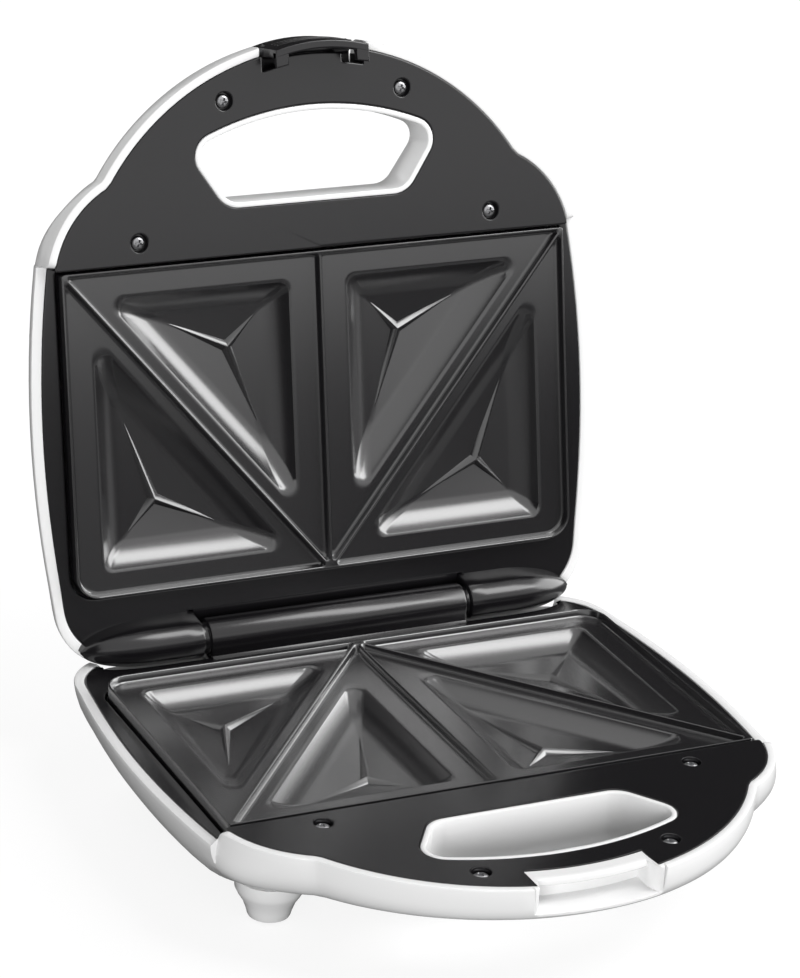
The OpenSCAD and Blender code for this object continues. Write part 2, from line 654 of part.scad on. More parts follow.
// inset and depth of the pocket's wall as parts of bowl_wall and bowl_depth
bowl = [[0, 0], [0.1, 0.33], [0.26, 0.62], [0.53, 0.87], [1, 1]];
module pocket_cavity(v) {
    ri = inradius(v);
    stack(concat(
        [round_ring(v, 0, [for (i = [0:2]) pocket_r], floor_z + 0.6, 6)],
        [for (b = bowl) round_ring(v, b[0] * bowl_wall,
            [for (i = [0:2]) max(0.6, pocket_r - b[0] * bowl_wall * 0.35)],
            floor_z - b[1] * bowl_depth, 6)],
        [round_ring(v, ri - 1, [0.5, 0.5, 0.5], floor_z - bowl_depth - facet_fall, 6)]));
}
// scoring star: three roof-shaped arms from the pocket's middle towards its corners
module star(v) {
    c = incentre(v);
    ri = inradius(v);
    reach = 1 - (bowl_wall + 0.6) / ri;
    z_top = floor_z - bowl_depth + star_h;
    z_end = floor_z - bowl_depth;
    z_low = floor_z - bowl_depth - facet_fall - 0.8;
    tips = [for (p = v) c + (p - c) * reach];
    valleys = [for (i = [0:2]) c + star_w * unit(unit(v[i] - c) + unit(v[(i + 1) % 3] - c))];
    rim = [for (i = [0:2]) each [tips[i], valleys[i]]];
    polyhedron(
        points = concat([[c.x, c.y, z_top], [c.x, c.y, z_low]],
            [for (i = [0:5]) [rim[i].x, rim[i].y,
                              i % 2 == 0 ? z_end : floor_z - bowl_depth - facet_fall + 0.25]],
            [for (p = rim) [p.x, p.y, z_low]]),
        faces = [for (i = [0:5]) let (j = (i + 1) % 6)
            each [[0, 2 + j, 2 + i], [1, 8 + i, 8 + j],
                  [2 + i, 2 + j, 8 + j], [2 + i, 8 + j, 8 + i]]]);
}
module bowl_back(v) {
    ri = inradius(v);
    stack([round_ring(v, -cast_t, [5, 5, 5], floor_z - cast_t + 0.3, 3),
           round_ring(v, 0.5, [4, 4, 4], floor_z - cast_t - 0.6 * bowl_depth, 3),
           round_ring(v, 0.62 * bowl_wall, [3, 3, 3], floor_z - cast_t - 0.97 * bowl_depth, 3),
           round_ring(v, ri - 3, [1, 1, 1], bowl_low, 3)]);
}
bowl_low = floor_z - bowl_depth - facet_fall - cast_t;
tray_z = bowl_low - heater_d - 1.2;      // top of the reflector tray
post_at = hub + (corner - hub) * 4 / 9;    // posts on the diagonal ridges
plate_posts = [[0, -plate_back - 12], post_at, [-post_at.x, post_at.y]];
module half_plate() {
    difference() {
        union() {
            // casting with its skirt
            stack([round_ring(plate_v, 0, plate_rr, top_z, 6),
                   round_ring(plate_v, 0, plate_rr, floor_z - cast_t, 6)]);
            difference() {
                stack([round_ring(plate_v, 0, plate_rr, floor_z, 6),
                       round_ring(plate_v, 0, plate_rr, bezel_z - panel_t - 1, 6)]);
                translate([0, 0, -40]) linear_extrude(60)
                    polygon([for (p = round_ring(plate_v, 2.4, plate_rr, 0, 3)) [p.x, p.y]]);
            }
            for (s = [-1, 1]) {
                bowl_back(side(pocket_in, s));
                bowl_back(side(pocket_out, s));
            }
            for (p = plate_posts) translate([p.x, p.y, tray_z])
                cylinder(r = 3.6, h = floor_z - tray_z - 1, $fn = mid);
        }
        for (s = [-1, 1]) {
            // sunken floors between the lip and the sealing ridges
            stack([round_ring(side(floor_in, s), -0.7, flip([1.6, 1.2, 1.2], s), top_z + 1),
                   round_ring(side(floor_in, s), 0, flip([1.6, 1.2, 1.2], s), top_z),
                   round_ring(side(floor_in, s), lip_run, flip([1.2, 0.8, 0.8], s), floor_z)]);
            stack([round_ring(side(floor_out, s), -0.7, flip([plate_r, 1.2, 1.2], s), top_z + 1),
                   round_ring(side(floor_out, s), 0, flip([plate_r - 1, 1.2, 1.2], s), top_z),
                   round_ring(side(floor_out, s), lip_run, flip([plate_r - 2, 0.8, 0.8], s),
                              floor_z)]);
            pocket_cavity(side(pocket_in, s));
            pocket_cavity(side(pocket_out, s));
        }
        for (p = plate_posts) translate([p.x, p.y, tray_z - 1])
            cylinder(r = 1.4, h = 9, $fn = mid);
    }
    for (s = [-1, 1]) {
        star(side(pocket_in, s));
        star(side(pocket_out, s));
    }
}
module base_plate() color(cast_grey) place_base() half_plate();
module lid_plate() color(cast_grey) place_lid() half_plate();

// ---------- heaters and reflector trays ---------------------------------------------

heat_z = bowl_low - heater_d / 2;
heat_y0 = incentre(pocket_out).y;
heat_y1 = incentre(pocket_in).y;
heat_c = (heat_y0 + heat_y1) / 2;
heat_r = (heat_y0 - heat_y1) / 2;
bend_x = 50 - plate_w / 2;
heat_end = plate_w / 2 - 24;
module half_heater() {
    // two straight runs under the pockets, joined by a bend
    for (y = [heat_y0, heat_y1]) translate([bend_x, y, heat_z]) rotate([0, 90, 0])
        cylinder(d = heater_d, h = heat_end - bend_x, $fn = mid);
    intersection() {
        translate([bend_x, heat_c, heat_z]) rotate_extrude($fn = fine)
            translate([heat_r, 0]) circle(d = heater_d, $fn = mid);
        translate([bend_x - 100, heat_c - 100, heat_z - 20]) cube([100, 200, 40]);
    }
    // terminal pins
    for (y = [heat_y0, heat_y1]) translate([heat_end - 1, y, heat_z]) rotate([0, 90, 0])
        cylinder(r = 1.5, h = 11, $fn = mid);
}
module base_heater() color("#5c5a58") place_base() half_heater();
module lid_heater() color("#5c5a58") place_lid() half_heater();

tray_x = plate_w / 2 - 10;
tray_v = [[-tray_x, -plate_front + 8], [tray_x, -plate_front + 8],
          [tray_x, -plate_back - 5], [-tray_x, -plate_back - 5]];
module half_tray() {
    difference() {
        stack([round_ring(tray_v, 0, [9, 9, 9, 9], tray_z + 5),
               round_ring(tray_v, 2, [8, 8, 8, 8], tray_z - tray_t)]);
        stack([round_ring(tray_v, tray_t - 0.4, [9, 9, 9, 9], tray_z + 6),
               round_ring(tray_v, 2 + tray_t, [8, 8, 8, 8], tray_z)]);
        for (p = plate_posts) translate([p.x, p.y, tray_z - 5])
            cylinder(r = 1.9, h = 10, $fn = mid);
        for (p = tray_slots) translate([p.x - 8, p.y - 2, tray_z - 5]) cube([16, 4, 10]);
    }
}
tray_slots = [for (s = [-1, 1]) [s * plate_w / 7.2, heat_c]];
module base_reflector() color(steel) place_base() half_tray();
module lid_reflector() color(steel) place_lid() half_tray();

// ---------- screws --------------------------------------------------------------------

// Pan-head screw with a cross recess, its head's underside at z = 0
module pan_screw(d, head_d, head_h, l) {
    difference() {
        union() {
            rotate_extrude($fn = mid) polygon([[0, 0], [head_d / 2, 0],
                [head_d / 2, head_h * 0.45], [head_d * 0.42, head_h * 0.8],
                [head_d * 0.28, head_h], [0, head_h]]);
            translate([0, 0, -l]) cylinder(d = d, h = l + eps, $fn = mid);
        }
        for (a = [0, 90]) rotate([0, 0, a + 20])
            translate([-head_d * 0.28, -0.4, head_h - 1]) cube([head_d * 0.56, 0.8, 2]);
    }
}
module half_panel_screws() {
    at_screws() translate([0, 0, screw_face_z]) pan_screw(screw_d, screw_head_d, 1.8, screw_l);
}
module half_plate_screws() {
    for (p = plate_posts) translate([p.x, p.y, tray_z - tray_t]) rotate([180, 0, 0])
        pan_screw(2.8, 6.4, 2, 6);
}
module base_panel_screws() color("#1f1f20") place_base() half_panel_screws();
module lid_panel_screws() color("#1f1f20") place_lid() half_panel_screws();
module base_plate_screws() color(steel) place_base() half_plate_screws();
module lid_plate_screws() color(steel) place_lid() half_plate_screws();

// ---------- thermostat, fuses and wiring parts ----------------------------------------

module base_thermostat() color("#c9c4b8") place_base()
    translate([0, -plate_back - plate_d * 0.452, 0]) {
        translate([0, 0, floor_z - cast_t - 7]) cylinder(d = 16, h = 7, $fn = fine);
        for (s = [-1, 1]) translate([s * 5 - 0.4, -3, floor_z - cast_t - 12])
            cube([0.8, 6, 5.5]);
    }
module half_fuse() {
    translate([0, -plate_back - plate_d * 0.717, floor_z - cast_t - 2]) {
        rotate([90, 0, 0]) cylinder(d = 4, h = 12, center = true, $fn = mid);
        rotate([90, 0, 0]) cylinder(d = 1, h = 34, center = true, $fn = small);
    }
}
module base_thermal_fuse() color(steel) place_base() half_fuse();
module lid_thermal_fuse() color(steel) place_lid() half_fuse();

module terminal_block() color("#e8e4da") place_base()
    translate([cord_x - 16, -46, -body_t + wall]) difference() {
        union() {
            translate([-17, -8, 0]) cube([34, 16, 4]);
            for (i = [-1:1]) translate([i * 11 - 4, -6, 0]) cube([8, 12, 10]);
        }
        for (i = [-1:1]) translate([i * 11, 0, 0]) {
            translate([0, 0, 7]) rotate([90, 0, 0]) cylinder(r = 1.6, h = 30, center = true,
                                                           $fn = mid);
            translate([0, 0, 7]) cylinder(r = 1.8, h = 10, $fn = mid);
        }
    }

bush_y = boss_back - 7;
module cord_bush() color("#2a2a2b") place_base()
    translate([cord_x, bush_y, cord_z]) rotate([-90, 0, 0]) difference() {
        union() {
            translate([0, 0, -8]) cylinder(r = cord_r + 2.4, h = 15.2, $fn = mid);
            translate([0, 0, 7]) cylinder(r1 = cord_r + 3.8, r2 = cord_r + 1.6, h = 5, $fn = mid);
            translate([0, 0, -10]) cylinder(r = cord_r + 3.6, h = 2, $fn = mid);
        }
        translate([0, 0, -20]) cylinder(r = cord_r, h = 40, $fn = mid);
    }

module foot_pads() color("#3a3a3c") place_base()
    at_feet() translate([0, 0, -stand_z]) cylinder(d = pad_d, h = 2, $fn = mid);

module hinge_pins() color(steel) place_base()
    for (s = [-1, 1]) spin_x(s > 0 ? barrel_end - pin_reach : -barrel_end - barrel_gap
                                                                - pin_reach + 0.6)
        cylinder(r = pin_r, h = 2 * pin_reach + barrel_gap - 0.6, $fn = mid);

// ---------- pilot lamps ----------------------------------------------------------------

module lens(s) {
    translate([s * lens_x, -lens_y, -body_t]) {
        cylinder(r = lens_r, h = wall, $fn = mid);
        translate([0, 0, wall]) cylinder(r = lens_r + 1, h = 1, $fn = mid);
        translate([0, 0, -1.2]) cylinder(r1 = lens_r * 0.7, r2 = lens_r, h = 1.2, $fn = mid);
    }
}
module lamp(s) {
    translate([s * lens_x, -lens_y, -body_t + wall + 1]) {
        cylinder(r = 2, h = 5, $fn = mid);
        for (k = [-1, 1]) translate([k * 0.8, 0, 5]) cylinder(r = 0.35, h = 4, $fn = small);
    }
}
module power_lens() color("#b3261e") place_lid() lens(-1);
module ready_lens() color("#2f8a3c") place_lid() lens(1);
module power_lamp() color("#e8b08a") place_lid() lamp(-1);
module ready_lamp() color("#e8b08a") place_lid() lamp(1);

// ---------- latch ------------------------------------------------------------------------

module latch_pin() color(steel) place_lid()
    translate([0, clip_pin_y, -clip_pin_z]) rotate([0, 90, 0])
        cylinder(r = clip_pin_r, h = 2 * pin_half, center = true, $fn = mid);

clip_tail = tip_t + 0.8;                 // reach of the clip down the outside of the lid
module latch_clip() color(black) place_lid() difference() {
    union() {
        sector(clip_in_r, clip_out_r, clip_w, -clip_tail, clip_reach);
        // hooks, with faces that come level when the clip is locked
        for (s = [-1, 1]) intersection() {
            sector(hook_in_r, clip_in_r + 0.5, clip_w, hook_z, clip_reach);
            translate([s * hook_x - hook_w / 2, handle_end - 10, 0]) cube([hook_w, 40, 30]);
            translate([0, -dome_y - clip_in_r + 2.2, hook_z]) rotate([clip_swing, 0, 0])
                translate([-far, -40, 0]) cube([2 * far, 80, 30]);
        }
        // sleeve on the latch pin
        translate([0, clip_pin_y, -clip_pin_z]) rotate([0, 90, 0])
            cylinder(r = clip_pin_r + 1.5, h = 2 * clip_w - 3, center = true, $fn = mid);
        // finger ridges
        for (z = [-4.5, -1.5, 1.5]) translate([0, 0, z])
            sector(clip_out_r - 0.4, clip_out_r + 0.5, clip_w - 4, -0.5, 0.5);
    }
    translate([0, clip_pin_y, -clip_pin_z]) rotate([0, 90, 0])
        cylinder(r = clip_pin_r + run_fit, h = 80, center = true, $fn = mid);
}

// ---------- placing ---------------------------------------------------------------------

// The part's origin lies under the middle of its length, from the tip of the base's
// handle back to the rearmost point of the open lid.
function opened_y(y, z) = y * cos(open_angle) - z * sin(open_angle);
y_min = -dome_y - dome_r * cos(asin(tip_half / dome_r));
y_max = max(concat([opened_y(-dome_y - clip_out_r, -clip_tail)],
                   [for (k = [0:6], p = ring(k)) opened_y(p.y, p.z)]));
y_shift = -(y_min + y_max) / 2;
module place_base() translate([0, y_shift, stand_z]) children();
module place_lid()
    translate([0, y_shift, stand_z]) rotate([-open_angle, 0, 0]) mirror([0, 0, 1]) children();

base_shell();
base_panel();
base_plate();
base_panel_screws();
base_plate_screws();
base_heater();
base_reflector();
base_thermostat();
base_thermal_fuse();
terminal_block();
cord_bush();
foot_pads();
hinge_pins();
lid_shell();
lid_panel();
lid_plate();
lid_panel_screws();
lid_plate_screws();
lid_heater();
lid_reflector();
lid_thermal_fuse();
power_lens();
ready_lens();
power_lamp();
ready_lamp();
latch_pin();
latch_clip();
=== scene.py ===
import json
import math
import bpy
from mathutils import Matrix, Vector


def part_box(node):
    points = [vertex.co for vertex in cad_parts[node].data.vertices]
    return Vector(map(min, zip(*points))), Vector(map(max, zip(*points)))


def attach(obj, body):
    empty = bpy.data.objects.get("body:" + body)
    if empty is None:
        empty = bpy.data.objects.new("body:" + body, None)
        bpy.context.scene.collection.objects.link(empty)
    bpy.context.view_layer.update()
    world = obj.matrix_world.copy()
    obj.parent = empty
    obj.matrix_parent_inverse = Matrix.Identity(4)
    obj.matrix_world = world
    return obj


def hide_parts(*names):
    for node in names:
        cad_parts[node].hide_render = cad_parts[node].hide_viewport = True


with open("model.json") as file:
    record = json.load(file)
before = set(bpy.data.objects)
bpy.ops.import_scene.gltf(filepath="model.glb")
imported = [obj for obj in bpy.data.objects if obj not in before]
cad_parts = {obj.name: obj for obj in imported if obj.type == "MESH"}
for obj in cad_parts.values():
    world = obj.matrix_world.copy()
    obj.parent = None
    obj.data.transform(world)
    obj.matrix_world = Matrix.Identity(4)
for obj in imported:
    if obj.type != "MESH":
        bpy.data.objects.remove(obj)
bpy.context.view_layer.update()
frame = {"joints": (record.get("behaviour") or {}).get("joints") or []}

from types import SimpleNamespace

import bmesh
import bpy
from mathutils import Matrix, Vector

bl_info = {
    "name": "Sandwich toaster",
    "version": (1, 0, 0),
    "blender": (4, 5, 0),
    "location": "View3D > Sidebar > Toaster",
    "description": "Dresses the toaster's frame with its mouldings, coated plates and studio light",
    "category": "Object",
}

# ---------------------------------------------------------------- facts of the frame

MM = 0.001
JOINTS = {joint["name"]: joint for joint in frame["joints"]}
HINGE = Vector(JOINTS["lid_hinge"]["pos_m"])
OPEN_ANGLE = math.radians(max(JOINTS["lid_hinge"]["range_deg"]))
CLIP_SWING = math.radians(max(JOINTS["latch_hinge"]["range_deg"]))

# ---------------------------------------------------------------- fixed places, millimetres

FOOT_H = 8.5  # height of the feet below the casing
FOOT_IN = 34  # feet in from the casing's widest line
FOOT_FRONT, FOOT_BACK = 7.3, -22  # front feet behind the plate's front edge; back feet's y
FACE_SINK = 0.15  # faces of the panels below the lip and the rim
SHELF_GAP = 1.2  # shelf below the sweep of the other casing's back edge
STEP_W = 1  # bezel's strip between the plate's gap and the handle's step
RIM_STEP = 1.2  # rim's step in front of the panel's step
NECK_Y = 18  # neck in front of the shoulders' centres
NECK_RUN = 34  # run over which the neck deepens into the body
SPINE_IN, SPINE_BACK = 72, 52  # spine of the casing's sections, from its side and its back
SIDE_START = 8  # where the side begins, in front of the back corner's centre
EASE_A = 0.6  # degrees that each arc stops short of the kink between shoulder and arch
SWING_GAP = 1  # room round the barrel and the knuckles
TIP_START, TIP_END = 12.5, 4.3  # plain stretch of the tip's rim, outside the clip's recess
SEAT_MID, SEAT_END = 14.9, 17  # insets of the tip's seat under the panel
LEDGE_IN, LEDGE_MID = 11, 12  # insets of the points between the recess and the seat
FLANK_LOW, FLANK_RISE = -17, 15.5  # flank beside the shoulder: where it sets in, over what rise
RECESS_GAP = 3.1  # floor of the recess below the clip's reach
PIN_Z = -8.5  # latch pin below the parting plane
# the black sheet and slot walls below are painted shade for the deep floor of the hooks' slots
PAINTED_SHADE_TOP, PAINTED_SHADE_LOW = -13.4, -14.2  # black floor in the lid under the latch's pin
SCREW_Y, SCREW_IN = 9.4, 46.1  # outer screws in front of the plate, in from the widest line
TIP_SCREW_X, TIP_SCREW_Y = 38, 22  # inner screws from the middle and from the tip
VENT_STEP, VENT_R, VENT_BACK, VENT_FRONT = 9, 1.5, -64, -98  # slots under the base
LENS_X, LENS_Y, LENS_R = 15, -112, 4.05  # windows of the pilot lenses in the lid
SWEEP_END = 102.2  # bezel's cut for the lid's knuckle, to its point
END_ROUND = (0.9, 0.27, 0)  # insets that round the ends of the barrel and the knuckles


def span(node, axis):
    """Millimetres that a node of the frame measures along one axis."""
    low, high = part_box(node)
    return (high[axis] - low[axis]) / MM


def forward(node, end):
    """Millimetres from the hinge axis forward to a node's back (0) or front (1)."""
    low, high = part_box(node)
    return (HINGE.y - (low.y if end else high.y)) / MM


def length(value, name, text):
    """A length property with its default in millimetres."""
    return bpy.props.FloatProperty(name=name, description=text, default=value * MM,
                                   subtype="DISTANCE", precision=4)


def hex_colour(code):
    """Linear colour of an sRGB hex value."""
    parts = [int(code[i:i + 2], 16) / 255 for i in (1, 3, 5)]
    return tuple(c / 12.92 if c <= 0.04045 else ((c + 0.055) / 1.055) ** 2.4 for c in parts)


def tint(code, name, text):
    return bpy.props.FloatVectorProperty(name=name, description=text, subtype="COLOR", size=3,
                                         min=0, max=1, default=hex_colour(code))


class CasingSizes(bpy.types.PropertyGroup):
    """Sizes of the white casings, in the frame of one half"""

    width: length(span("base_shell", 0), "Width", "Width of the casing at its widest line")
    side_r: length(430, "Side radius", "Radius of the bulging sides in plan")
    widest: length(86, "Widest line", "Distance from the hinge to the widest line")
    back: length(7.5, "Back", "Reach of the casing behind the hinge axis")
    corner_r: length(25, "Back corner", "Radius of the back corners in plan")
    depth: length(HINGE.z / MM - FOOT_H, "Depth", "Depth from the parting plane to the outside")
    belly_r: length(34, "Belly", "Radius that rounds the sides into the outside")
    wall: length(2.4, "Wall", "Wall thickness")
    rim_drop: length(5.1, "Rim drop", "Drop of the rim beside the plate")
    side_rim: length(4.5, "Side rim", "Width of the rim beside the plate")
    handle_rim: length(3.3, "Handle rim", "Width of the rim round the handle's panel")
    dome_r: length(106.7, "Arch", "Radius of the arched handle")
    dome_y: length(126, "Arch centre", "Distance from the hinge to the arch's centre")
    shoulder_r: length(46, "Shoulder", "Radius of the shoulders beside the arch")
    shoulder_in: length(3.4, "Shoulder set-in", "Set-in of the shoulders from the sides")
    shoulder_y: length(143, "Shoulder centre", "Distance from the hinge to the shoulders")
    tip_t: length(14, "Tip thickness", "Thickness of half the handle at its tip")
    shoulder_t: length(23, "Shoulder thickness", "Thickness of half the handle there")
    tip_edge_r: length(6, "Tip edge", "Radius of the handle's outer edge at its tip")
    edge_r: length(0.7, "Rim edge", "Small radius along the edges of the rim")
    foot_d: length(16, "Foot", "Diameter of a foot at its lower end")
    foot_top_d: length(26, "Foot top", "Diameter of a foot at the casing")


class PanelSizes(bpy.types.PropertyGroup):
    """Sizes of the black panels, the hinge and the latch"""

    thickness: length(2.6, "Thickness", "Thickness of the panels")
    gap: length(0.25, "Gap", "Gap between a panel and the casing's rim")
    plate_gap: length(1.1, "Plate gap", "Gap between the panel and the cooking plate")
    edge_r: length(0.45, "Edge", "Small radius along the panels' edges")
    grip_w: length(51, "Opening width", "Half width of the handle's opening")
    grip_back_w: length(33, "Opening back", "Half width of its straight back edge")
    grip_y: length(19.7, "Opening place", "Distance from the plate to the opening")
    grip_d: length(38, "Opening depth", "Depth of the opening front to back")
    grip_front_r: length(121, "Opening arch", "Radius of the opening's front edge")
    grip_r: length(9, "Opening ends", "Radius of the opening's ends")
    grip_back_r: length(11, "Opening back corners", "Radius of its two back corners")
    collar: length(2.2, "Collar", "Wall of the collar that lines the opening")
    screw_sink: length(1, "Screw sink", "Depth of the screws' heads below the panel")
    screw_d: length(5.6, "Screw head", "Diameter of a panel screw's head")
    hinge_r: length(7.8, "Hinge", "Radius of the barrel and the knuckles")
    barrel_l: length(112, "Barrel", "Length of the base's barrel")
    barrel_gap: length(2.5, "Barrel gap", "Gap between the barrel and a knuckle")
    taper_x: length(78, "Taper", "Distance from the middle where a knuckle narrows")
    knuckle_x: length(107, "Knuckle point", "Distance from the middle to its point")
    flare: length(10, "Knuckle foot", "Reach of a knuckle's foot on the bezel")
    clip_w: length(21.3, "Clip", "Half width of the latch clip")
    clip_t: length(3.2, "Clip wall", "Thickness of the clip's arched wall")
    clip_reach: length(7.4, "Clip reach", "Reach of the clip past the parting plane")
    hook_l: length(5, "Hook length", "Length of the clip's hooks")
    hook_w: length(5.3, "Hook width", "Width of each hook")
    hook_x: length(17.3, "Hook place", "Distance from the middle to a hook")


class PlateSizes(bpy.types.PropertyGroup):
    """Sizes of the cooking plates"""

    width: length(span("base_plate", 0), "Width", "Width of a plate over its lip")
    back: length(forward("base_plate", 0), "Back edge", "Distance from the hinge to it")
    front: length(forward("base_plate", 1), "Front edge", "Distance from the hinge to it")
    corner_r: length(9.5, "Back corners", "Radius of the plate's back corners")
    lip_h: length(3, "Lip", "Height of the lip and ridges over the floor")
    lip_run: length(0.9, "Lip slope", "Run of the sloping side of the lip and ridges")
    crest: length(0.9, "Crest", "Width of the crest of the lip and ridges")
    pocket_side: length(12.3, "Pocket to side", "Distance from the side edge")
    pocket_end: length(11.1, "Pocket to end", "Distance from the front and back edges")
    pocket_diag: length(6.4, "Pocket to diagonal", "Distance from a diagonal ridge")
    pocket_r: length(4.6, "Pocket corners", "Corner radius of the pockets")
    bowl_depth: length(6.9, "Bowl depth", "Depth of the bowl's wall")
    bowl_wall: length(12.4, "Bowl wall", "Width of the bowl's curved wall")
    facet_fall: length(1.9, "Facet fall", "Further fall to the pocket's middle")
    star_h: length(0.4, "Star", "Height of the star's crest over the bowl's foot")
    star_w: length(2.4, "Star arms", "Half width of the star's arms at the middle")


class ToasterColours(bpy.types.PropertyGroup):
    """Colours of the toaster's finishes"""

    shell: tint("#ececec", "Casings", "Gloss white of the casings")
    panel: tint("#121113", "Panels", "Satin black of the panels and the hinge")
    coating: tint("#0f0e10", "Plates", "Dark grey of the non-stick coating")
    steel: tint("#b8babd", "Steel", "Zinc-plated steel")
    # the screws' pale colour, far lighter than black oxide, is a painted sheen on their heads, not
    # wear
    screw: tint("#a4a4a6", "Screws", "Worn black oxide of the panel screws")
    rubber: tint("#2c2c2e", "Rubber", "Dark grey of the foot pads and the bush")


# ---------------------------------------------------------------- sizes in millimetres

def in_mm(group):
    """The lengths of a property group in millimetres, by their names."""
    return SimpleNamespace(**{key: getattr(group, key) / MM for key in group.__annotations__})


def sin(a):
    """Sine of an angle in degrees, as in the three below."""
    return math.sin(math.radians(a))


def cos(a):
    return math.cos(math.radians(a))


def asin(ratio):
    return math.degrees(math.asin(ratio))


def acos(ratio):
    return math.degrees(math.acos(ratio))


def polar(centre, radius, a):
    """The plan point at an angle round a centre."""
    return centre + radius * Vector((cos(a), sin(a)))


def arc(centre, radius, start, end, steps):
    """Plan points along an arc, its angles in degrees."""
    turns = [start + (end - start) * i / steps for i in range(steps + 1)]
    return [Vector((centre[0] + radius * cos(a), centre[1] + radius * sin(a))) for a in turns]


def angle_of(centre, point):
    """Direction of a point from a centre, in degrees."""
    return math.degrees(math.atan2(point[1] - centre[1], point[0] - centre[0]))


def smooth(u):
    """Rise from nought to one with level ends."""
    u = max(0, min(1, u))
    return u * u * (3 - 2 * u)


def toaster(scene):
    """Every size of the toaster in millimetres, in the frame of one half: the hinge axis is X
    through the origin, the parting plane z = 0, the handle points to -Y, the body lies below."""
    t = SimpleNamespace(case=in_mm(scene.toaster_case), panel=in_mm(scene.toaster_panel),
                        plate=in_mm(scene.toaster_plate))
    case, panel, plate = t.case, t.panel, t.plate
    t.top = (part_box("base_plate")[1].z - HINGE.z) / MM
    t.low = t.top - case.rim_drop
    t.face = t.top - FACE_SINK
    t.bezel = t.low - FACE_SINK
    t.shelf = -math.hypot(case.back, t.low) - SHELF_GAP
    t.floor = t.top - plate.lip_h
    t.panel_y = -plate.front - panel.plate_gap
    t.step = t.panel_y - STEP_W
    t.rim_step = t.step - RIM_STEP
    t.tip = -case.dome_y - case.dome_r
    t.neck = -case.shoulder_y - NECK_Y
    t.half_w = case.width / 2
    t.swing_r = panel.hinge_r + SWING_GAP
    # back edge of the bezel, in front of what the hinge sweeps
    t.bezel_back = -math.sqrt(t.swing_r ** 2 - t.bezel ** 2) - 0.3
    t.trough_y = -t.swing_r - 1.6  # front edge of the lid's trough
    t.knuckle_in = panel.barrel_l / 2 + panel.barrel_gap
    t.arch = Vector((0, -case.dome_y))
    t.side = Vector((t.half_w - case.side_r, -case.widest))
    x = side_x(t, case.back - case.corner_r) - case.corner_r
    t.corner = Vector((x, case.back - case.corner_r))
    t.shoulder = Vector((side_x(t, -case.shoulder_y) - case.shoulder_in - case.shoulder_r,
                         -case.shoulder_y))
    # the kink is where the circles of the arch and the shoulder cross
    gap = t.shoulder - t.arch
    along = gap.normalized()
    a = (case.dome_r ** 2 - case.shoulder_r ** 2 + gap.length ** 2) / (2 * gap.length)
    t.kink = (t.arch + a * along
              + math.sqrt(case.dome_r ** 2 - a * a) * Vector((along.y, -along.x)))
    # radii about the arch: the clip's inner face, its pin, its hooks, the base's ledge
    t.clip_in_r = case.dome_r - case.handle_rim + 0.5
    t.pivot_r = t.clip_in_r - 1.9
    t.hook_in_r = t.clip_in_r - panel.hook_l
    t.ledge_r = t.hook_in_r - 0.3
    t.notch_r = case.dome_r - case.handle_rim - 11.6
    t.notch_w = panel.clip_w + 2.4
    t.ledge = t.face - 0.35
    t.screw_low = t.face - panel.screw_sink - 1.8
    t.screws = [(s * (t.half_w - SCREW_IN), -plate.front - SCREW_Y) for s in (-1, 1)]
    t.screws += [(s * TIP_SCREW_X, t.tip + TIP_SCREW_Y) for s in (-1, 1)]
    return t


def side_x(t, y):
    """Half width of the casing's side at a distance y along it."""
    r = t.case.side_r
    return t.half_w - r + math.sqrt(r * r - (y + t.case.widest) ** 2)


def inward(t, p):
    """Direction in which the casing's edge moves in from a point of its outline."""
    spine = Vector((min(p.x, t.half_w - SPINE_IN), max(p.y, -t.case.shoulder_y)))
    if p.y > -t.case.back - SPINE_BACK:
        spine.y = -t.case.back - SPINE_BACK
    elif p.y <= -t.case.shoulder_y:
        spine = t.arch if (p - t.arch).length < t.case.dome_r + 0.2 else t.shoulder
    return (spine - p).normalized()


def taper(t, y, tip, neck, body):
    """A size that runs straight from the tip to the neck and smoothly on into the body."""
    if y < t.neck:
        return tip + (neck - tip) * (y - t.tip) / (t.neck - t.tip)
    return neck + (body - neck) * smooth((y - t.neck) / NECK_RUN)


def depth_at(t, y):
    """Depth of the casing's outside below the parting plane."""
    return taper(t, y, t.case.tip_t, t.case.shoulder_t, t.case.depth)


def round_at(t, y):
    """Radius that rounds the casing's edge into its outside."""
    r = taper(t, y, t.case.tip_edge_r, t.case.shoulder_t - 5, t.case.belly_r)
    return min(r, depth_at(t, y) - 1)


def side_arc(t, end_y):
    """The casing's bulging side from its back corner to a distance along it."""
    start, end = [angle_of(t.side, Vector((side_x(t, y), y)))
                  for y in (t.corner.y - SIDE_START, end_y)]
    return arc(t.side, t.case.side_r, start, end, 14)


def shoulder_arc(t, start):
    """The casing's shoulder from an angle to just short of its kink with the arch."""
    return arc(t.shoulder, t.case.shoulder_r, start, angle_of(t.shoulder, t.kink) + EASE_A, 14)


def dome_arc(t, end, steps):
    """The handle's arch from just past the kink to an angle."""
    return arc(t.arch, t.case.dome_r, angle_of(t.arch, t.kink) - EASE_A, end, steps)


def grip_points(t, inset):
    """Right half of the handle opening's outline, moved in by an inset."""
    panel, r, back_r = t.panel, t.panel.grip_r, t.panel.grip_back_r
    back_y = -t.plate.front - panel.grip_y
    front = Vector((0, back_y - panel.grip_d + panel.grip_front_r))
    reach = math.sqrt((panel.grip_front_r - r) ** 2 - (panel.grip_w - r) ** 2)
    wide = Vector((panel.grip_w - r, front.y - reach))
    back = Vector((panel.grip_back_w, back_y - back_r))
    slant = angle_of(back, wide) + acos((back_r - r) / (wide - back).length)
    front_a = angle_of(front, wide)
    points = arc(back, back_r - inset, 90, slant, 10) + arc(wide, r - inset, slant, front_a, 10)
    points += arc(front, panel.grip_front_r - inset, front_a - 0.8, -89.3, 14)
    return points


def mirrored(half):
    """The left half of an outline from its right half, listed on from it."""
    return [Vector((-p.x, *p[1:])) for p in reversed(half)]


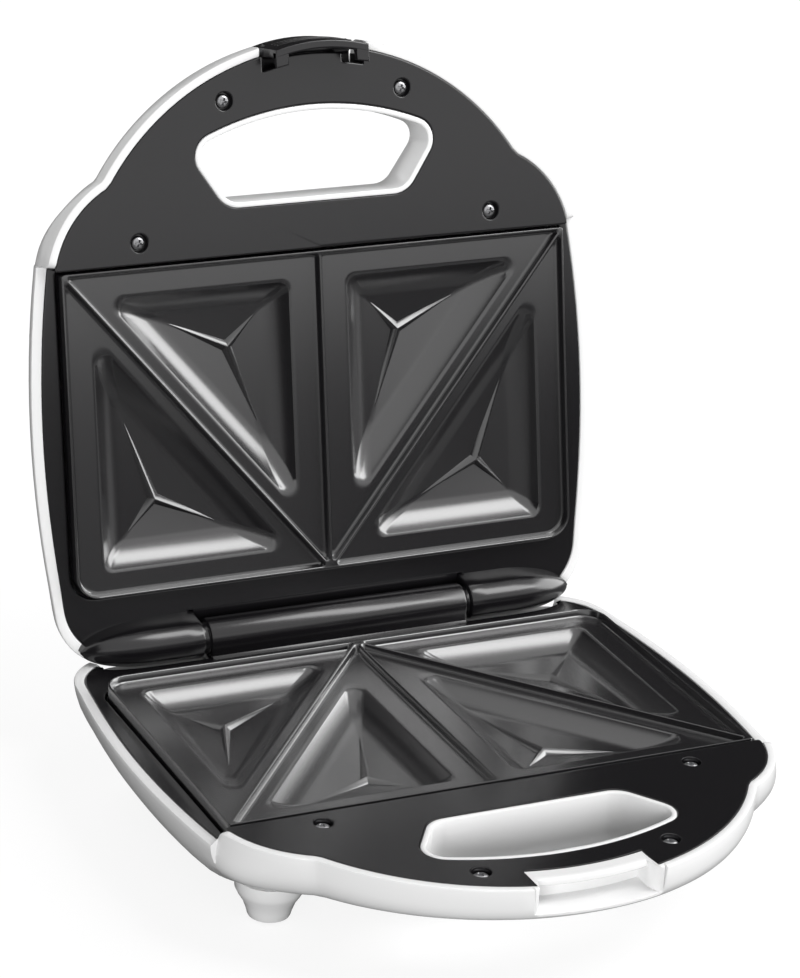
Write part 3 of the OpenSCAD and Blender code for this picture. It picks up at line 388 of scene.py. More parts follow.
def both(half):
    """A closed outline from its right half, listed clockwise from the back."""
    return half + mirrored(half)


# ---------------------------------------------------------------- mesh helpers

def loop(bm, points):
    """A closed ring of vertices through the points."""
    start = bmesh.ops.create_circle(bm, segments=len(points), radius=1)["verts"][0]
    ring = [start, start.link_edges[0].other_vert(start)]
    while len(ring) < len(points):
        before, end = ring[-2:]
        ring.append(next(e.other_vert(end) for e in end.link_edges
                         if e.other_vert(end) is not before))
    for vert, point in zip(ring, points):
        vert.co = point
    return ring


def edges_of(bm, ring):
    """The edges of a closed ring of vertices."""
    return [bm.edges.get((a, b)) for a, b in zip(ring, ring[1:] + ring[:1])]


def pull(bm, ring, points):
    """Extrude a ring of vertices and set the new ring on the points."""
    made = bmesh.ops.extrude_edge_only(bm, edges=edges_of(bm, ring))["geom"]
    fresh = {v for v in made if isinstance(v, bmesh.types.BMVert)}
    after = {e.other_vert(v): v for v in fresh for e in v.link_edges
             if e.other_vert(v) not in fresh}
    new = [after[v] for v in ring]
    for vert, point in zip(new, points):
        vert.co = point
    return new


def loft(bm, outlines, ring=None):
    """Pull a ring of vertices through the outlines, the first of which makes it unless one
    is given. Every ring is returned."""
    rings = [ring] if ring else []
    for points in outlines:
        rings.append(pull(bm, rings[-1], points) if rings else loop(bm, points))
    return rings


def fill(bm, *rings):
    """Close the flat field inside the first ring and outside the others."""
    edges = [edge for ring in rings for edge in edges_of(bm, ring)]
    bmesh.ops.triangle_fill(bm, use_beauty=True, use_dissolve=False, edges=edges)


def at(points, z):
    """Plan points lifted to a height."""
    return [Vector((p[0], p[1], z)) for p in points]


def moved(points, d):
    """A clockwise plan outline, moved in by d."""
    out = []
    for i, p in enumerate(points):
        before, after = (p - points[i - 1]), (points[(i + 1) % len(points)] - p)
        a = Vector((before.y, -before.x)).normalized()
        b = Vector((after.y, -after.x)).normalized()
        mid = (a + b).normalized()
        out.append(p + mid * (d / max(0.5, mid.dot(a))))
    return out


def circle(centre, radius, steps=32, start=90):
    """A clockwise circle."""
    return arc(centre, radius, start, start - 360 * (steps - 1) / steps, steps - 1)


def sheet(bm, outline, top, under, edge, holes=(), skirt=None):
    """A flat moulding with rounded upper edges. Each hole is its outline and the rings, as
    pairs of inset and z, that lead from its edge down; without rings it runs straight down.
    skirt tells how deep a thin wall along the outer edge reaches at a point."""
    rounds = [(edge + 0.3, top), (edge, top), (edge * 0.3, top - edge * 0.3), (0, top - edge)]
    low = [skirt(p) if skirt else under for p in outline]
    outer = [at(moved(outline, inset), z) for inset, z in rounds]
    outer.append([Vector((*p, z)) for p, z in zip(outline, low)])
    if skirt:
        thin = moved(outline, 0.4)
        outer += [[Vector((*p, z)) for p, z in zip(thin, low)], at(thin, under)]
    lofts = [loft(bm, outer)]
    for points, rings in holes:
        rings = [(-inset, z) for inset, z in rounds] + (rings or [(0, under)])
        lofts.append(loft(bm, [at(moved(points, inset), z) for inset, z in rings]))
    fill(bm, *[rings[0] for rings in lofts])
    fill(bm, *[rings[-1] for rings in lofts])


def lathe(bm, profile, axis, centre, steps=64, ring=False):
    """Spin a profile of (radius, along) pairs, which starts and ends on the axis or is a
    closed ring round it."""
    axis = Vector(axis)
    side = axis.orthogonal().normalized()
    centre = Vector(centre)
    verts = [bmesh.ops.create_vert(bm, co=centre + side * r + axis * a)["vert"][0]
             for r, a in profile]
    edges = [bm.edges.new(pair) for pair in zip(verts, verts[1:])]
    if ring:
        edges.append(bm.edges.new((verts[-1], verts[0])))
    bmesh.ops.spin(bm, geom=verts + edges, cent=centre, axis=axis, steps=steps,
                   angle=math.tau, use_merge=True)
    bmesh.ops.remove_doubles(bm, verts=bm.verts, dist=0.0005)


def outward(bm):
    """Turn the faces of every closed shell outwards."""
    bmesh.ops.recalc_face_normals(bm, faces=bm.faces)
    left = set(bm.faces)
    while left:
        shell, front = set(), {left.pop()}
        while front:
            shell |= front
            front = {g for f in front for e in f.edges for g in e.link_faces} - shell
        left -= shell
        volume = sum(f.calc_area() * f.normal.dot(f.calc_center_median()) for f in shell)
        if volume < 0:
            bmesh.ops.reverse_faces(bm, faces=list(shell))


def add_piece(name, bm, material, body, replaced, sharp=34):
    """Place a mesh in its half, parent it to its body's empty and hide the node that it replaces.
    """
    half = BASE if body == "base" else LID
    bmesh.ops.remove_doubles(bm, verts=bm.verts, dist=0.002)
    bmesh.ops.dissolve_degenerate(bm, edges=bm.edges, dist=0.0005)
    outward(bm)
    bm.transform(half)
    if half.determinant() < 0:
        bmesh.ops.reverse_faces(bm, faces=bm.faces)
    mesh = bpy.data.meshes.new(name)
    bm.to_mesh(mesh)
    bm.free()
    mesh.polygons.foreach_set("use_smooth", [True] * len(mesh.polygons))
    mesh.set_sharp_from_angle(angle=math.radians(sharp))
    mesh.materials.append(material)
    piece = bpy.data.objects.new(name, mesh)
    bpy.context.scene.collection.objects.link(piece)
    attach(piece, body)
    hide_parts(replaced)


BASE = Matrix.Translation(HINGE) @ Matrix.Scale(MM, 4)
LID = (Matrix.Translation(HINGE) @ Matrix.Rotation(-OPEN_ANGLE, 4, "X")
       @ Matrix.Scale(-1, 4, (0, 0, 1)) @ Matrix.Scale(MM, 4))


# ---------------------------------------------------------------- materials

def node(tree, kind, links=(), **settings):
    """Add a shader node with its settings; links pairs an input with the socket that feeds it."""
    made = tree.nodes.new(kind)
    for key, value in settings.items():
        if hasattr(made, key):
            setattr(made, key, value)
        else:
            made.inputs[key.replace("_", " ")].default_value = value
    for name, socket in links:
        tree.links.new(socket, made.inputs[name])
    return made


def set_values(shader, values):
    """Set sockets of a shader by their names, with _ for a space."""
    for key, value in values.items():
        shader.inputs[key.replace("_", " ")].default_value = value


def finish(name, colour, rough, relief=(0.1, 0.0001), tones=None, **values):
    """A procedural material, made once. rough holds the lowest and the highest roughness,
    with the grains to the metre and the detail of the noise between them. relief holds the
    strength and the height of a bump, with grains and a detail of its own where they differ.
    tones are the parts of the colour in the dark and the bright grains."""
    material = bpy.data.materials.get(name)
    if material:
        return material
    material = bpy.data.materials.new(name)
    material.use_nodes = True
    material.diffuse_color = (*colour, 1)
    tree = material.node_tree
    shader = tree.nodes["Principled BSDF"]
    set_values(shader, {"Base_Color": (*colour, 1), **values})
    place = node(tree, "ShaderNodeTexCoord").outputs["Object"]

    def noise(scale, detail=2.0):
        return node(tree, "ShaderNodeTexNoise", [("Vector", place)], Scale=scale,
                    Detail=detail).outputs["Fac"]

    low, high, *grain = rough
    grains = noise(*grain)
    if tones:
        tone = node(tree, "ShaderNodeValToRGB", [("Fac", grains)])
        for stop, position, part in zip(tone.color_ramp.elements, (0.35, 0.7), tones):
            stop.position = position
            stop.color = (*[c * part for c in colour], 1)
        tree.links.new(tone.outputs["Color"], shader.inputs["Base Color"])
    spread = node(tree, "ShaderNodeMapRange", [("Value", grains)], To_Min=low, To_Max=high)
    tree.links.new(spread.outputs["Result"], shader.inputs["Roughness"])
    if relief:
        strength, height, *own = relief
        bump = node(tree, "ShaderNodeBump", [("Height", noise(*own) if own else grains)],
                    Strength=strength, Distance=height)
        tree.links.new(bump.outputs["Normal"], shader.inputs["Normal"])
    return material


def gloss_abs(scene):
    """Injection-moulded gloss ABS: an even white with handling marks in soft patches about
    8 mm wide, and waves of the tool's polish about 25 mm long that bend the reflections."""
    return finish("abs_gloss_white", scene.toaster_colours.shell, (0.16, 0.24, 120.0, 3.0),
                  relief=(0.15, 0.0002, 40.0, 2.0), Roughness=0.2, IOR=1.54)


def satin_abs(scene):
    """Heat-resistant black plastic from an eroded tool: satin, with a grain of about 0.35 mm
    that spreads the highlights along the edges."""
    return finish("abs_satin_black", scene.toaster_colours.panel, (0.19, 0.25, 22.0, 3.0),
                  relief=(0.12, 0.00008, 2800.0, 2.0), Roughness=0.2, IOR=1.5,
                  Coat_Weight=0.3, Coat_Roughness=0.18)


def coated_aluminium(scene):
    """Die-cast aluminium under a sprayed and baked non-stick coating: dark grey with a
    speckle of droplets about 0.5 mm wide, and soft highlights along its small radii."""
    return finish("nonstick_coating", scene.toaster_colours.coating, (0.21, 0.27, 2000.0, 3.0),
                  relief=(0.05, 0.0001), tones=(0.75, 1.7), Roughness=0.24, IOR=1.75,
                  Coat_Weight=1.0, Coat_Roughness=0.21)


def plated_steel(scene):
    """Bright zinc-plated steel, turned or stamped, with faint tool marks."""
    return finish("zinc_plated_steel", scene.toaster_colours.steel, (0.24, 0.42, 1500.0),
                  relief=None, Metallic=1.0, Roughness=0.32)


# ---------------------------------------------------------------- casings

# zones of a casing's rim: the shelf behind the bezel, the side, the handle and its tip
SHELF, SIDE, HANDLE, TIP = range(4)
FLANK = 16  # points of a section before its rim


def rim_profile(t, p, zone, rim, shift, latch):
    """Section of a casing at an outline point, as (inset, z) pairs from the middle of its
    outside round the rim to the middle of its inside. rim is the height of the rim and shift
    how far the flank under it stands out. latch names the recess for the clip, or is the
    inset of the recess's wall where it flares open."""
    case, e = t.case, t.case.edge_r
    d, r = depth_at(t, p.y), round_at(t, p.y)
    flare = latch if isinstance(latch, float) else 0
    crest = rim
    rim = -(t.panel.clip_reach + RECESS_GAP) if flare or latch == "notch" else rim
    low_end = max(0, asin(max(0, min(1, (r - d - t.shelf) / r))))
    high_end = min(low_end, asin(min(1, max(0, (r - d - rim + e) / r))))
    turns = [90 + (low_end - 90) * i / 9 for i in range(10)]
    turns += [low_end + (high_end - low_end) * i / 3 for i in (1, 2, 3)]
    points = [(r * (1 - cos(a)), r - d - r * sin(a)) for a in turns]
    x = points[-1][0]
    lip = min(e, (flare - x) * 0.7) if flare else e
    points += [(x, rim - lip), (x + 0.3 * lip, rim - 0.3 * lip), (x + lip, rim)]
    # the rim's width, and its seat under the panel
    w = case.handle_rim if zone > SIDE else case.side_rim
    if zone == SHELF:
        w = (p.y - t.bezel_back + 0.4 - t.panel.gap) / -inward(t, p).y
        seat, under = w, t.shelf - 1.8
    else:
        seat = SEAT_END if zone == TIP else w + 2.2
        under = (t.bezel if zone == SIDE else t.face) - t.panel.thickness
    mid = SEAT_MID if zone == TIP else seat
    small = e * 0.6
    if flare:
        points += [(flare, rim), (flare, rim + 0.5), (flare, crest - 0.7),
                   (flare + 0.05, crest - 0.45), (flare + 0.2, crest - 0.2),
                   (flare + 0.4, crest - 0.05), (flare + 0.7, crest)]
        if flare < case.handle_rim - 1.2:
            points += [(w - small, crest), (w, crest - small), (w, under)]
        else:
            points += [(LEDGE_IN, crest), (LEDGE_MID, crest), (mid, crest)]
    elif latch == "notch":
        deep, top = case.dome_r - t.ledge_r, t.ledge
        far, low = deep + t.panel.hook_l + 1.4, t.ledge - 2.6
        points += [(far, rim), (far, low), (deep + 0.5, low), (deep, low + 0.5),
                   (deep, top - 1.1), (deep + 0.35, top - 0.35), (deep + 1.1, top),
                   (LEDGE_IN, top), (LEDGE_MID, top), (mid, top)]
    else:
        points += [(w - small, rim)] * 7
        points += [(w - 0.3 * small, rim - 0.3 * small), (w, rim - small), (w, under)]
    points += [(mid, under), (seat, under)]
    if latch == "pocket":
        deep = case.dome_r - t.pivot_r + 5.4
        last = len(points) - 3
        points[:-2] = [(deep, -d + (under + d) * i / last) for i in range(last + 1)]
    if shift and not latch:
        points = [(x - shift * (1 - smooth((z - FLANK_LOW) / FLANK_RISE)) if i < FLANK else x,
                   z) for i, (x, z) in enumerate(points)]
    least = case.wall if zone == SHELF else seat
    inner_d, inner_r = d - case.wall, max(1, r - case.wall)
    for a in (0, 22.5, 45, 67.5, 90):
        z = -(inner_d - inner_r) - inner_r * sin(a)
        points.append((max(least, case.wall + inner_r * (1 - cos(a))),
                       min(z, under - 1 - a / 99)))
    return points


def casing_columns(t, latch):
    """Right half of the casing's outline from the back to the tip, as the arguments that
    rim_profile takes for each of its points."""
    case = t.case
    shelf_a = acos((t.half_w - case.corner_r + 7 - t.corner.x) / case.corner_r)
    step_a = asin((t.rim_step - t.shoulder.y) / case.shoulder_r)
    columns = [(p, SHELF, t.shelf, 0, "") for p in arc(t.corner, case.corner_r, 90, shelf_a, 4)]
    columns += [(p, SIDE, t.low, 0, "") for p in
                arc(t.corner, case.corner_r, shelf_a, 7, 10) + side_arc(t, t.rim_step)]
    # the handle's rim ends in a rounded step; below it the flank runs on smoothly
    end = Vector((side_x(t, t.rim_step), t.rim_step))
    jut = (end - polar(t.shoulder, case.shoulder_r, step_a)).length
    fall = 2.4
    turn = math.degrees(1 / case.shoulder_r)
    for far in (0, 0.16, 0.55, 1.3, fall):
        drop = fall - math.sqrt(max(0, fall ** 2 - (fall - far) ** 2))
        columns.append((polar(t.shoulder, case.shoulder_r, step_a - far * turn), HANDLE,
                        t.top - drop, jut, ""))
    columns += [(p, HANDLE, t.top, jut * (1 - smooth(i / 11)), "")
                for i, p in enumerate(shoulder_arc(t, step_a - (fall + 1.5) * turn))]
    slot_x = t.panel.clip_w + 0.8

    def tip_a(x):
        """Angle on the tip's arc at a distance x outside the clip's recess."""
        return -acos((slot_x + x) / case.dome_r)

    columns += [(p, HANDLE, t.top, 0, "") for p in dome_arc(t, tip_a(TIP_START), 26)]
    columns += [(p, TIP, t.top, 0, "") for p in
                arc(t.arch, case.dome_r, tip_a(TIP_START), tip_a(TIP_END), 2)]
    if latch == "notch":
        # the recess for the clip opens outwards in an S-curve
        flares = [(x, t.top, flare) for x, flare in
                  ((3.5, 0.8), (3.0, 0.95), (2.6, 1.15), (2.2, 1.45), (1.9, 1.85))]
        flares += [(x, t.ledge, flare) for x, flare in
                   ((1.5, 2.7), (0.95, 3.9), (0.45, 5.5), (0.1, 7.2),
                    (0, case.dome_r - t.ledge_r))]
    else:
        flares = [(x, t.top - drop, "") for x, drop in
                  ((2.2, 0), (1.1, 0), (0.75, 0.15), (0.35, 0.7), (0.1, 1.6))]
    columns += [(polar(t.arch, case.dome_r, tip_a(x)), TIP, rim, 0, flare)
                for x, rim, flare in flares]
    columns += [(p, TIP, t.top, 0, latch) for p in arc(t.arch, case.dome_r, tip_a(0), -89.3, 9)]
    return columns


def strip(bm, ring, first, last):
    """Bridge the right side of a symmetric ring to its left side between two of its columns."""
    right = ring[first:last + 1]
    left = ring[::-1][first:last + 1]
    edges = [bm.edges.get(pair) for side in (right, left) for pair in zip(side, side[1:])]
    bmesh.ops.bridge_loops(bm, edges=[edge for edge in edges if edge])


def close_cap(bm, ring, flat, neck, flat_holes, grip):
    """Close one face of a casing: a flat field with its holes, a curved neck and the handle."""
    strip(bm, ring, flat, neck)
    fill(bm, ring[:flat + 1] + ring[-flat - 1:], *flat_holes)
    fill(bm, ring[neck:len(ring) - neck], grip)


def casing(t, latch, holes):
    """One moulded casing: a loft of sections, closed by its outside and inside. latch names
    its recess for the clip; the holes are outlines in its flat outside."""
    bm = bmesh.new()
    columns = casing_columns(t, latch)
    sections = [rim_profile(t, *column) for column in columns]
    last = len(sections[0]) - 1
    outlines = []
    for k in range(last + 1):
        right = []
        for (p, zone, *_), section in zip(columns, sections):
            inset, z = section[k]
            # towards the recess the sections turn to lie along its side walls
            near = smooth((34.6 - p.x) / 9) if zone == TIP else 0
            q = p + (inward(t, p) * (1 - near) + Vector((0, near))).normalized() * inset
            if k in (0, last):
                z = -depth_at(t, q.y) + (t.case.wall if k else 0)
            right.append(Vector((*q, z)))
        outlines.append(both(right))
    rings = loft(bm, outlines)
    ys = [p.y for p, *_ in columns]
    flat = max(i for i, y in enumerate(ys) if y > t.neck + NECK_RUN)
    neck = max(i for i, y in enumerate(ys) if y > t.neck)
    # collar round the handle's opening: insets with heights over the outside, then with z
    w, face = t.panel.collar, t.face
    low = [(w - 1.5, 0), (w - 0.45, 0.45), (w, 1.5)]
    high = [(w, face - 0.7), (w - 0.15, face - 0.3), (w - 0.5, face - 0.1), (0.5, face - 0.1),
            (0.15, face - 0.3), (0, face - 0.7)]

    def raised(inset, height):
        return [Vector((*p, height - depth_at(t, p.y))) for p in both(grip_points(t, inset))]

    outlines = [raised(*pair) for pair in low]
    outlines += [at(both(grip_points(t, inset)), z) for inset, z in high]
    collar = loft(bm, outlines + [raised(0, t.case.wall)])
    vents = [loft(bm, [at(points, z) for z in (-t.case.depth, -t.case.depth + t.case.wall)])
             for points in holes]
    close_cap(bm, rings[0], flat, neck, [outside for outside, _ in vents], collar[0])
    close_cap(bm, rings[-1], flat, neck, [inside for _, inside in vents], collar[-1])
    # the two end walls of the recess at the tip are filled flat
    count = len(columns)
    edge = min(i for i, column in enumerate(columns) if column[4] == latch)
    for a, b in ((edge - 1, edge), (2 * count - edge, 2 * count - 1 - edge)):
        walls = {ring[i] for ring in rings for i in (a, b)}
        faces = [f for f in bm.faces if all(v in walls for v in f.verts)]
        bmesh.ops.delete(bm, geom=faces, context="FACES")
    bmesh.ops.remove_doubles(bm, verts=bm.verts, dist=0.003)
    bmesh.ops.holes_fill(bm, edges=[e for e in bm.edges if e.is_boundary], sides=0)
    return bm


def foot(bm, t, x, y):
    """A moulded foot with its flared root in the casing and the seat of its rubber pad."""
    low = -HINGE.z / MM + 0.6
    top, end, seat = t.case.foot_top_d / 2, t.case.foot_d / 2, 5.1
    profile = ((0, 16), (top, 16), (top, 12), (top - 1.2, 9.5), (end + 1.9, 6.5),
               (end + 0.6, 3), (end + 0.1, 1.1), (end - 0.3, 0.35), (end - 1.1, 0), (seat, 0),
               (seat, 1.5), (0, 1.5))
    lathe(bm, [(r, low + h) for r, h in profile], (0, 0, 1), (x, y, 0), 48)


class TOASTER_OT_casings(bpy.types.Operator):
    """Mould the white casings of the base and the lid"""

    bl_idname = "toaster.casings"
    bl_label = "Casings"

    def execute(self, context):
        t = toaster(context.scene)
        white = gloss_abs(context.scene)
        vents = [arc((x, VENT_BACK), VENT_R, 180, 0, 6) + arc((x, VENT_FRONT), VENT_R, 0, -180, 6)
                 for x in range(-4 * VENT_STEP, 4 * VENT_STEP + 1, VENT_STEP)]
        bm = casing(t, "notch", vents)
        for s in (-1, 1):
            for y in (FOOT_FRONT - t.plate.front, FOOT_BACK):
                foot(bm, t, s * (t.half_w - FOOT_IN), y)
        # the cord bush's boss, round its bore
        low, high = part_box("cord_bush")
        middle = (low + high) / (2 * MM) - HINGE / MM
        bore, boss = 6.05, 9.6
        profile = [(bore, -9), (boss, -9), (boss, 4.4), (9.25, 5.25), (8.4, 5.6), (bore, 5.6)]
        lathe(bm, profile, (0, 1, 0), (middle.x, 0, middle.z), 48, True)
        add_piece("base_casing", bm, white, "base", "base_shell")
        windows = [circle((s * LENS_X, LENS_Y), LENS_R) for s in (-1, 1)]
        bm = casing(t, "pocket", windows)
        add_piece("lid_casing", bm, white, "lid", "lid_shell")
        return {"FINISHED"}


# ---------------------------------------------------------------- panels and hinge

def bend(before, corner, after, r, steps=5):
    """Points that round a corner of an outline."""
    a = corner + (before - corner).normalized() * r
    b = corner + (after - corner).normalized() * r
    return [a * (1 - u) ** 2 + corner * 2 * u * (1 - u) + b * u * u
            for u in (i / steps for i in range(steps + 1))]


def radial(t, x, r):
    """The point at half width x on the circle of radius r about the arch's centre."""
    return Vector((x, t.arch.y - math.sqrt(r * r - x * x)))


def rim_line(t, points, width):
    """An outline moved in by the rim's width."""
    return [p + inward(t, p) * width for p in points]


def handle_outline(t, lid):
    """Outline of the handle's panel, from the plate's edge to the tip."""
    case, panel = t.case, t.panel
    w = case.handle_rim + panel.gap
    step_a = asin((t.rim_step - 0.6 - t.shoulder.y) / case.shoulder_r)
    line = rim_line(t, shoulder_arc(t, step_a), w)
    half = [Vector((0, t.panel_y))]
    half += bend(half[0], Vector((line[0].x, t.panel_y)), line[0], 0.9) + line
    notch = panel.clip_w + 0.4 if lid else t.notch_w
    stop = -acos((notch + 1.5) / case.dome_r)
    half += rim_line(t, dome_arc(t, stop, 28), w)
    outer = radial(t, notch, case.dome_r - w)
    if lid:
        # round the slots that the clip's hooks pass through
        deep, reach = t.hook_in_r - 1.4, t.pivot_r - 1.1
        x = panel.hook_x - panel.hook_w + 0.2
        corners = [outer, radial(t, notch, reach + 0.1), radial(t, notch, deep),
                   radial(t, x, deep), radial(t, x, reach)]
        ends = [half[-1]] + corners + [radial(t, x - 2, reach)]
        for i in range(1, 6):
            half += bend(ends[i - 1], ends[i], ends[i + 1], 0.5, 3)
        x, inner_r = x - 1, reach
    else:
        inner = radial(t, notch, t.notch_r)
        half += bend(half[-1], outer, inner, 0.5)
        half += bend(outer, inner, radial(t, 18, t.notch_r), 1.6)
        x, inner_r = notch - 3, t.notch_r
    half += [radial(t, x * (1 - i / 8) + 0.4, inner_r) for i in range(9)]
    return both(half)


def plate_hole(t):
    """Opening for the cooking plate: the plate's outline with its gap."""
    plate, g = t.plate, t.panel.plate_gap
    x, front, back = plate.width / 2 + g, -plate.front - g, g - plate.back
    r, f = plate.corner_r + g, 2.3
    half = arc((x - r, back - r), r, 90, 0, 8) + arc((x - f, front + f), f, 0, -90, 4)
    return both(half)


def bezel_outline(t, lid):
    """Outline of the bezel round the plate, from the hinge to the handle's step."""
    case = t.case
    w = case.side_rim + t.panel.gap
    corner = rim_line(t, arc(t.corner, case.corner_r, 80, 7, 16), w)
    corner = [p for p in corner if p.y < -1.4]
    if lid:
        x = t.knuckle_in + 2
        half = [Vector((0, t.trough_y)), Vector((x, t.trough_y)), Vector((x, -1))]
    else:
        half = [Vector((0, -3)), Vector((t.panel.barrel_l / 2 + 0.6, -3))]
        # the back edge follows the sweep of the lid's pointed knuckle
        for i in range(15):
            x = t.knuckle_in - 1.5 + (SWEEP_END - t.knuckle_in + 1.5) * (i / 14) ** 0.8
            reach = (knuckle_radius(t, x) + 1.3) ** 2 - t.bezel ** 2
            half.append(Vector((x, -math.sqrt(max(1, reach)))))
    half += bend(half[-1], Vector((t.corner.x + 11.4, -1)), corner[0], 1.5, 4)
    half += corner + rim_line(t, side_arc(t, t.step), w)
    half[-1] = Vector((half[-1].x, t.step - 0.1))
    return both(half)


def knuckle_radius(t, x):
    """Radius of a knuckle at a distance x from the middle, down to its point."""
    panel = t.panel
    u = max(0, (x - panel.taper_x) / (panel.knuckle_x - panel.taper_x))
    return panel.hinge_r * math.sqrt(max(0.004, 1 - u ** 2.2))


def flat_panel(t, lid):
    """The handle's panel with its opening and screw wells, and the bezel round the plate."""
    bm = bmesh.new()
    e, thick = t.panel.edge_r, t.panel.thickness
    well = t.panel.screw_d / 2 + 0.8
    holes = [(both(grip_points(t, -0.15)), [])]
    for spot in t.screws:
        rings = [(0, t.screw_low + 0.3), (0.3, t.screw_low), (well - 1.65, t.screw_low),
                 (well - 1.65, t.screw_low - 1.4), (-1.3, t.screw_low - 1.4),
                 (-1.3, t.face - thick)]
        holes.append((circle(spot, well, 28), rings))

    def skirt(p):
        """The panel's edge reaches down to the bezel, and lines the slots of the hooks in black
        down to the sheet under the pin: painted shade in the slots.
        """
        if p.y > t.panel_y - 0.25:
            return t.bezel - thick + 0.2
        near = (p - t.arch).length < t.pivot_r - 0.9 and abs(p.x) < t.panel.clip_w + 0.6
        return PAINTED_SHADE_TOP - 0.1 if lid and near and p.y < t.tip + 14 else t.face - thick

    sheet(bm, handle_outline(t, lid), t.face, t.face - thick, e, holes, skirt)
    sheet(bm, bezel_outline(t, lid), t.bezel, t.bezel - thick, e, [(plate_hole(t), [])])
    if lid:
        # black sheet under the latch's pin, between the hooks' slots: painted shade where the
        # slots' deep floor lies in shadow
        spots = [t.panel.clip_w * i / 8 for i in range(1, 9)]
        band = [radial(t, x, t.pivot_r - 5.2) for x in spots]
        band += [radial(t, x, t.pivot_r + 0.6) for x in reversed(spots)]
        sheet(bm, both(band), PAINTED_SHADE_TOP, PAINTED_SHADE_LOW, 0.2)
    return bm


def along_x(bm, stations):
    """Loft closed sections, as pairs of x and (y, z) points, and close both ends."""
    rings = loft(bm, [[Vector((x, *p)) for p in points] for x, points in stations])
    fill(bm, rings[0])
    fill(bm, rings[-1])


def barrel(bm, t):
    """The base's centre barrel on its web, with rounded ends and a stub at each end."""
    panel, r, end = t.panel, t.panel.hinge_r, t.panel.barrel_l / 2
    web = -r - 2.6
    section = [Vector((web, t.bezel - 0.3)), Vector((-r - 1.2, t.bezel + 0.15)),
               Vector((-r - 0.3, t.bezel + 0.9))]
    section += arc((0, 0), r, 196, -14, 34)
    section += [Vector((r - 0.4, t.shelf + 0.15)), Vector((web, t.shelf + 0.15))]
    stations = [(-end + back, moved(section, inset))
                for inset, back in zip(END_ROUND, reversed(END_ROUND))]
    along_x(bm, stations + [(-x, points) for x, points in reversed(stations)])
    stub, far = r - 1.8, end + panel.barrel_gap - 0.4
    profile = [(0, end - 3), (stub + 1.2, end - 3), (stub + 1.2, end - 0.2),
               (stub + 0.35, end + 0.25), (stub, end + 0.9), (stub, far), (0, far)]
    for s in (-1, 1):
        lathe(bm, profile, (s, 0, 0), (0, 0, 0))


def knuckle(bm, t, s):
    """A knuckle of the lid: a boat shape that stands on the bezel and runs out to a point."""
    panel = t.panel
    inner, far = t.knuckle_in, panel.knuckle_x + 0.3
    stations = []
    xs = [inner, inner + 0.25, inner + 0.9]
    xs += [inner + 0.9 + (panel.taper_x - inner - 0.9) * i / 3 for i in (1, 2, 3)]
    xs += [panel.taper_x + (far - panel.taper_x) * (1 - (1 - i / 16) ** 1.5)
           for i in range(1, 17)]
    for k, x in enumerate(xs):
        u = max(0, (x - panel.taper_x) / (far - panel.taper_x))
        rounding = END_ROUND[min(k, 2)]
        r = knuckle_radius(t, x) - rounding
        reach = panel.flare * math.sqrt(max(0.004, 1 - u ** 1.7)) - rounding
        drop = -3.2 * u * u
        out = Vector((-reach, t.bezel - drop))
        lean = angle_of((0, 0), out) % 360
        turn = acos(min(0.99, r / out.length))
        points = [out + Vector((0, -1.8)), out] + arc((0, 0), r, lean - turn, -100, 40)
        stations.append((s * x, [p + Vector((0, drop)) for p in points]))
    along_x(bm, stations)


def trough(bm, t):
    """The lid's black trough that goes round the back of the base's barrel."""
    end, r, y = t.knuckle_in - 0.2, t.swing_r + 0.6, t.trough_y
    section = [Vector((y - 0.6, t.bezel - 0.25)), Vector((y + 0.1, t.bezel - 0.25))]
    section += arc((0, 0), r, 228, 292, 12)
    section += [Vector((r * 0.62, t.shelf + 0.2)), Vector((y - 0.6, t.shelf + 0.2))]
    along_x(bm, [(-end, section), (end, section)])


class TOASTER_OT_panels(bpy.types.Operator):
    """Mould the black panels with the hinge's barrel and knuckles"""

    bl_idname = "toaster.panels"
    bl_label = "Panels and hinge"

    def execute(self, context):
        t = toaster(context.scene)
        black = satin_abs(context.scene)
        bm = flat_panel(t, False)
        barrel(bm, t)
        add_piece("base_inner_panel", bm, black, "base", "base_panel")
        bm = flat_panel(t, True)
        trough(bm, t)
        for s in (-1, 1):
            knuckle(bm, t, s)
        add_piece("lid_inner_panel", bm, black, "lid", "lid_panel")
        return {"FINISHED"}


# ---------------------------------------------------------------- cooking plates

def corner_arc(v, i, d, r, steps):
    """Corner i of an anticlockwise polygon, moved in by d and rounded to the radius r."""
    p, after, before = v[i], v[(i + 1) % len(v)], v[i - 1]
    e, b = (after - p).normalized(), (before - p).normalized()
    half = math.acos(max(-1, min(1, e.dot(b)))) / 2
    c = p + (e + b).normalized() * ((d + r) / math.sin(half))
    start = angle_of((0, 0), (-b.y, b.x))
    turn = (angle_of((0, 0), (e.y, -e.x)) - start + 720) % 360
    return arc(c, r, start, start + turn, steps)


def round_ring(v, d, radii, steps=8):
    """An anticlockwise polygon, moved in by d, with its corners rounded."""
    return [p for i in range(len(v)) for p in corner_arc(v, i, d, radii[i], steps)]


def meet(a, c, b, d):
    """Crossing of the lines p.a = c and p.b = d."""
    k = a.x * b.y - a.y * b.x
    return Vector(((c * b.y - d * a.y) / k, (a.x * d - b.x * c) / k))


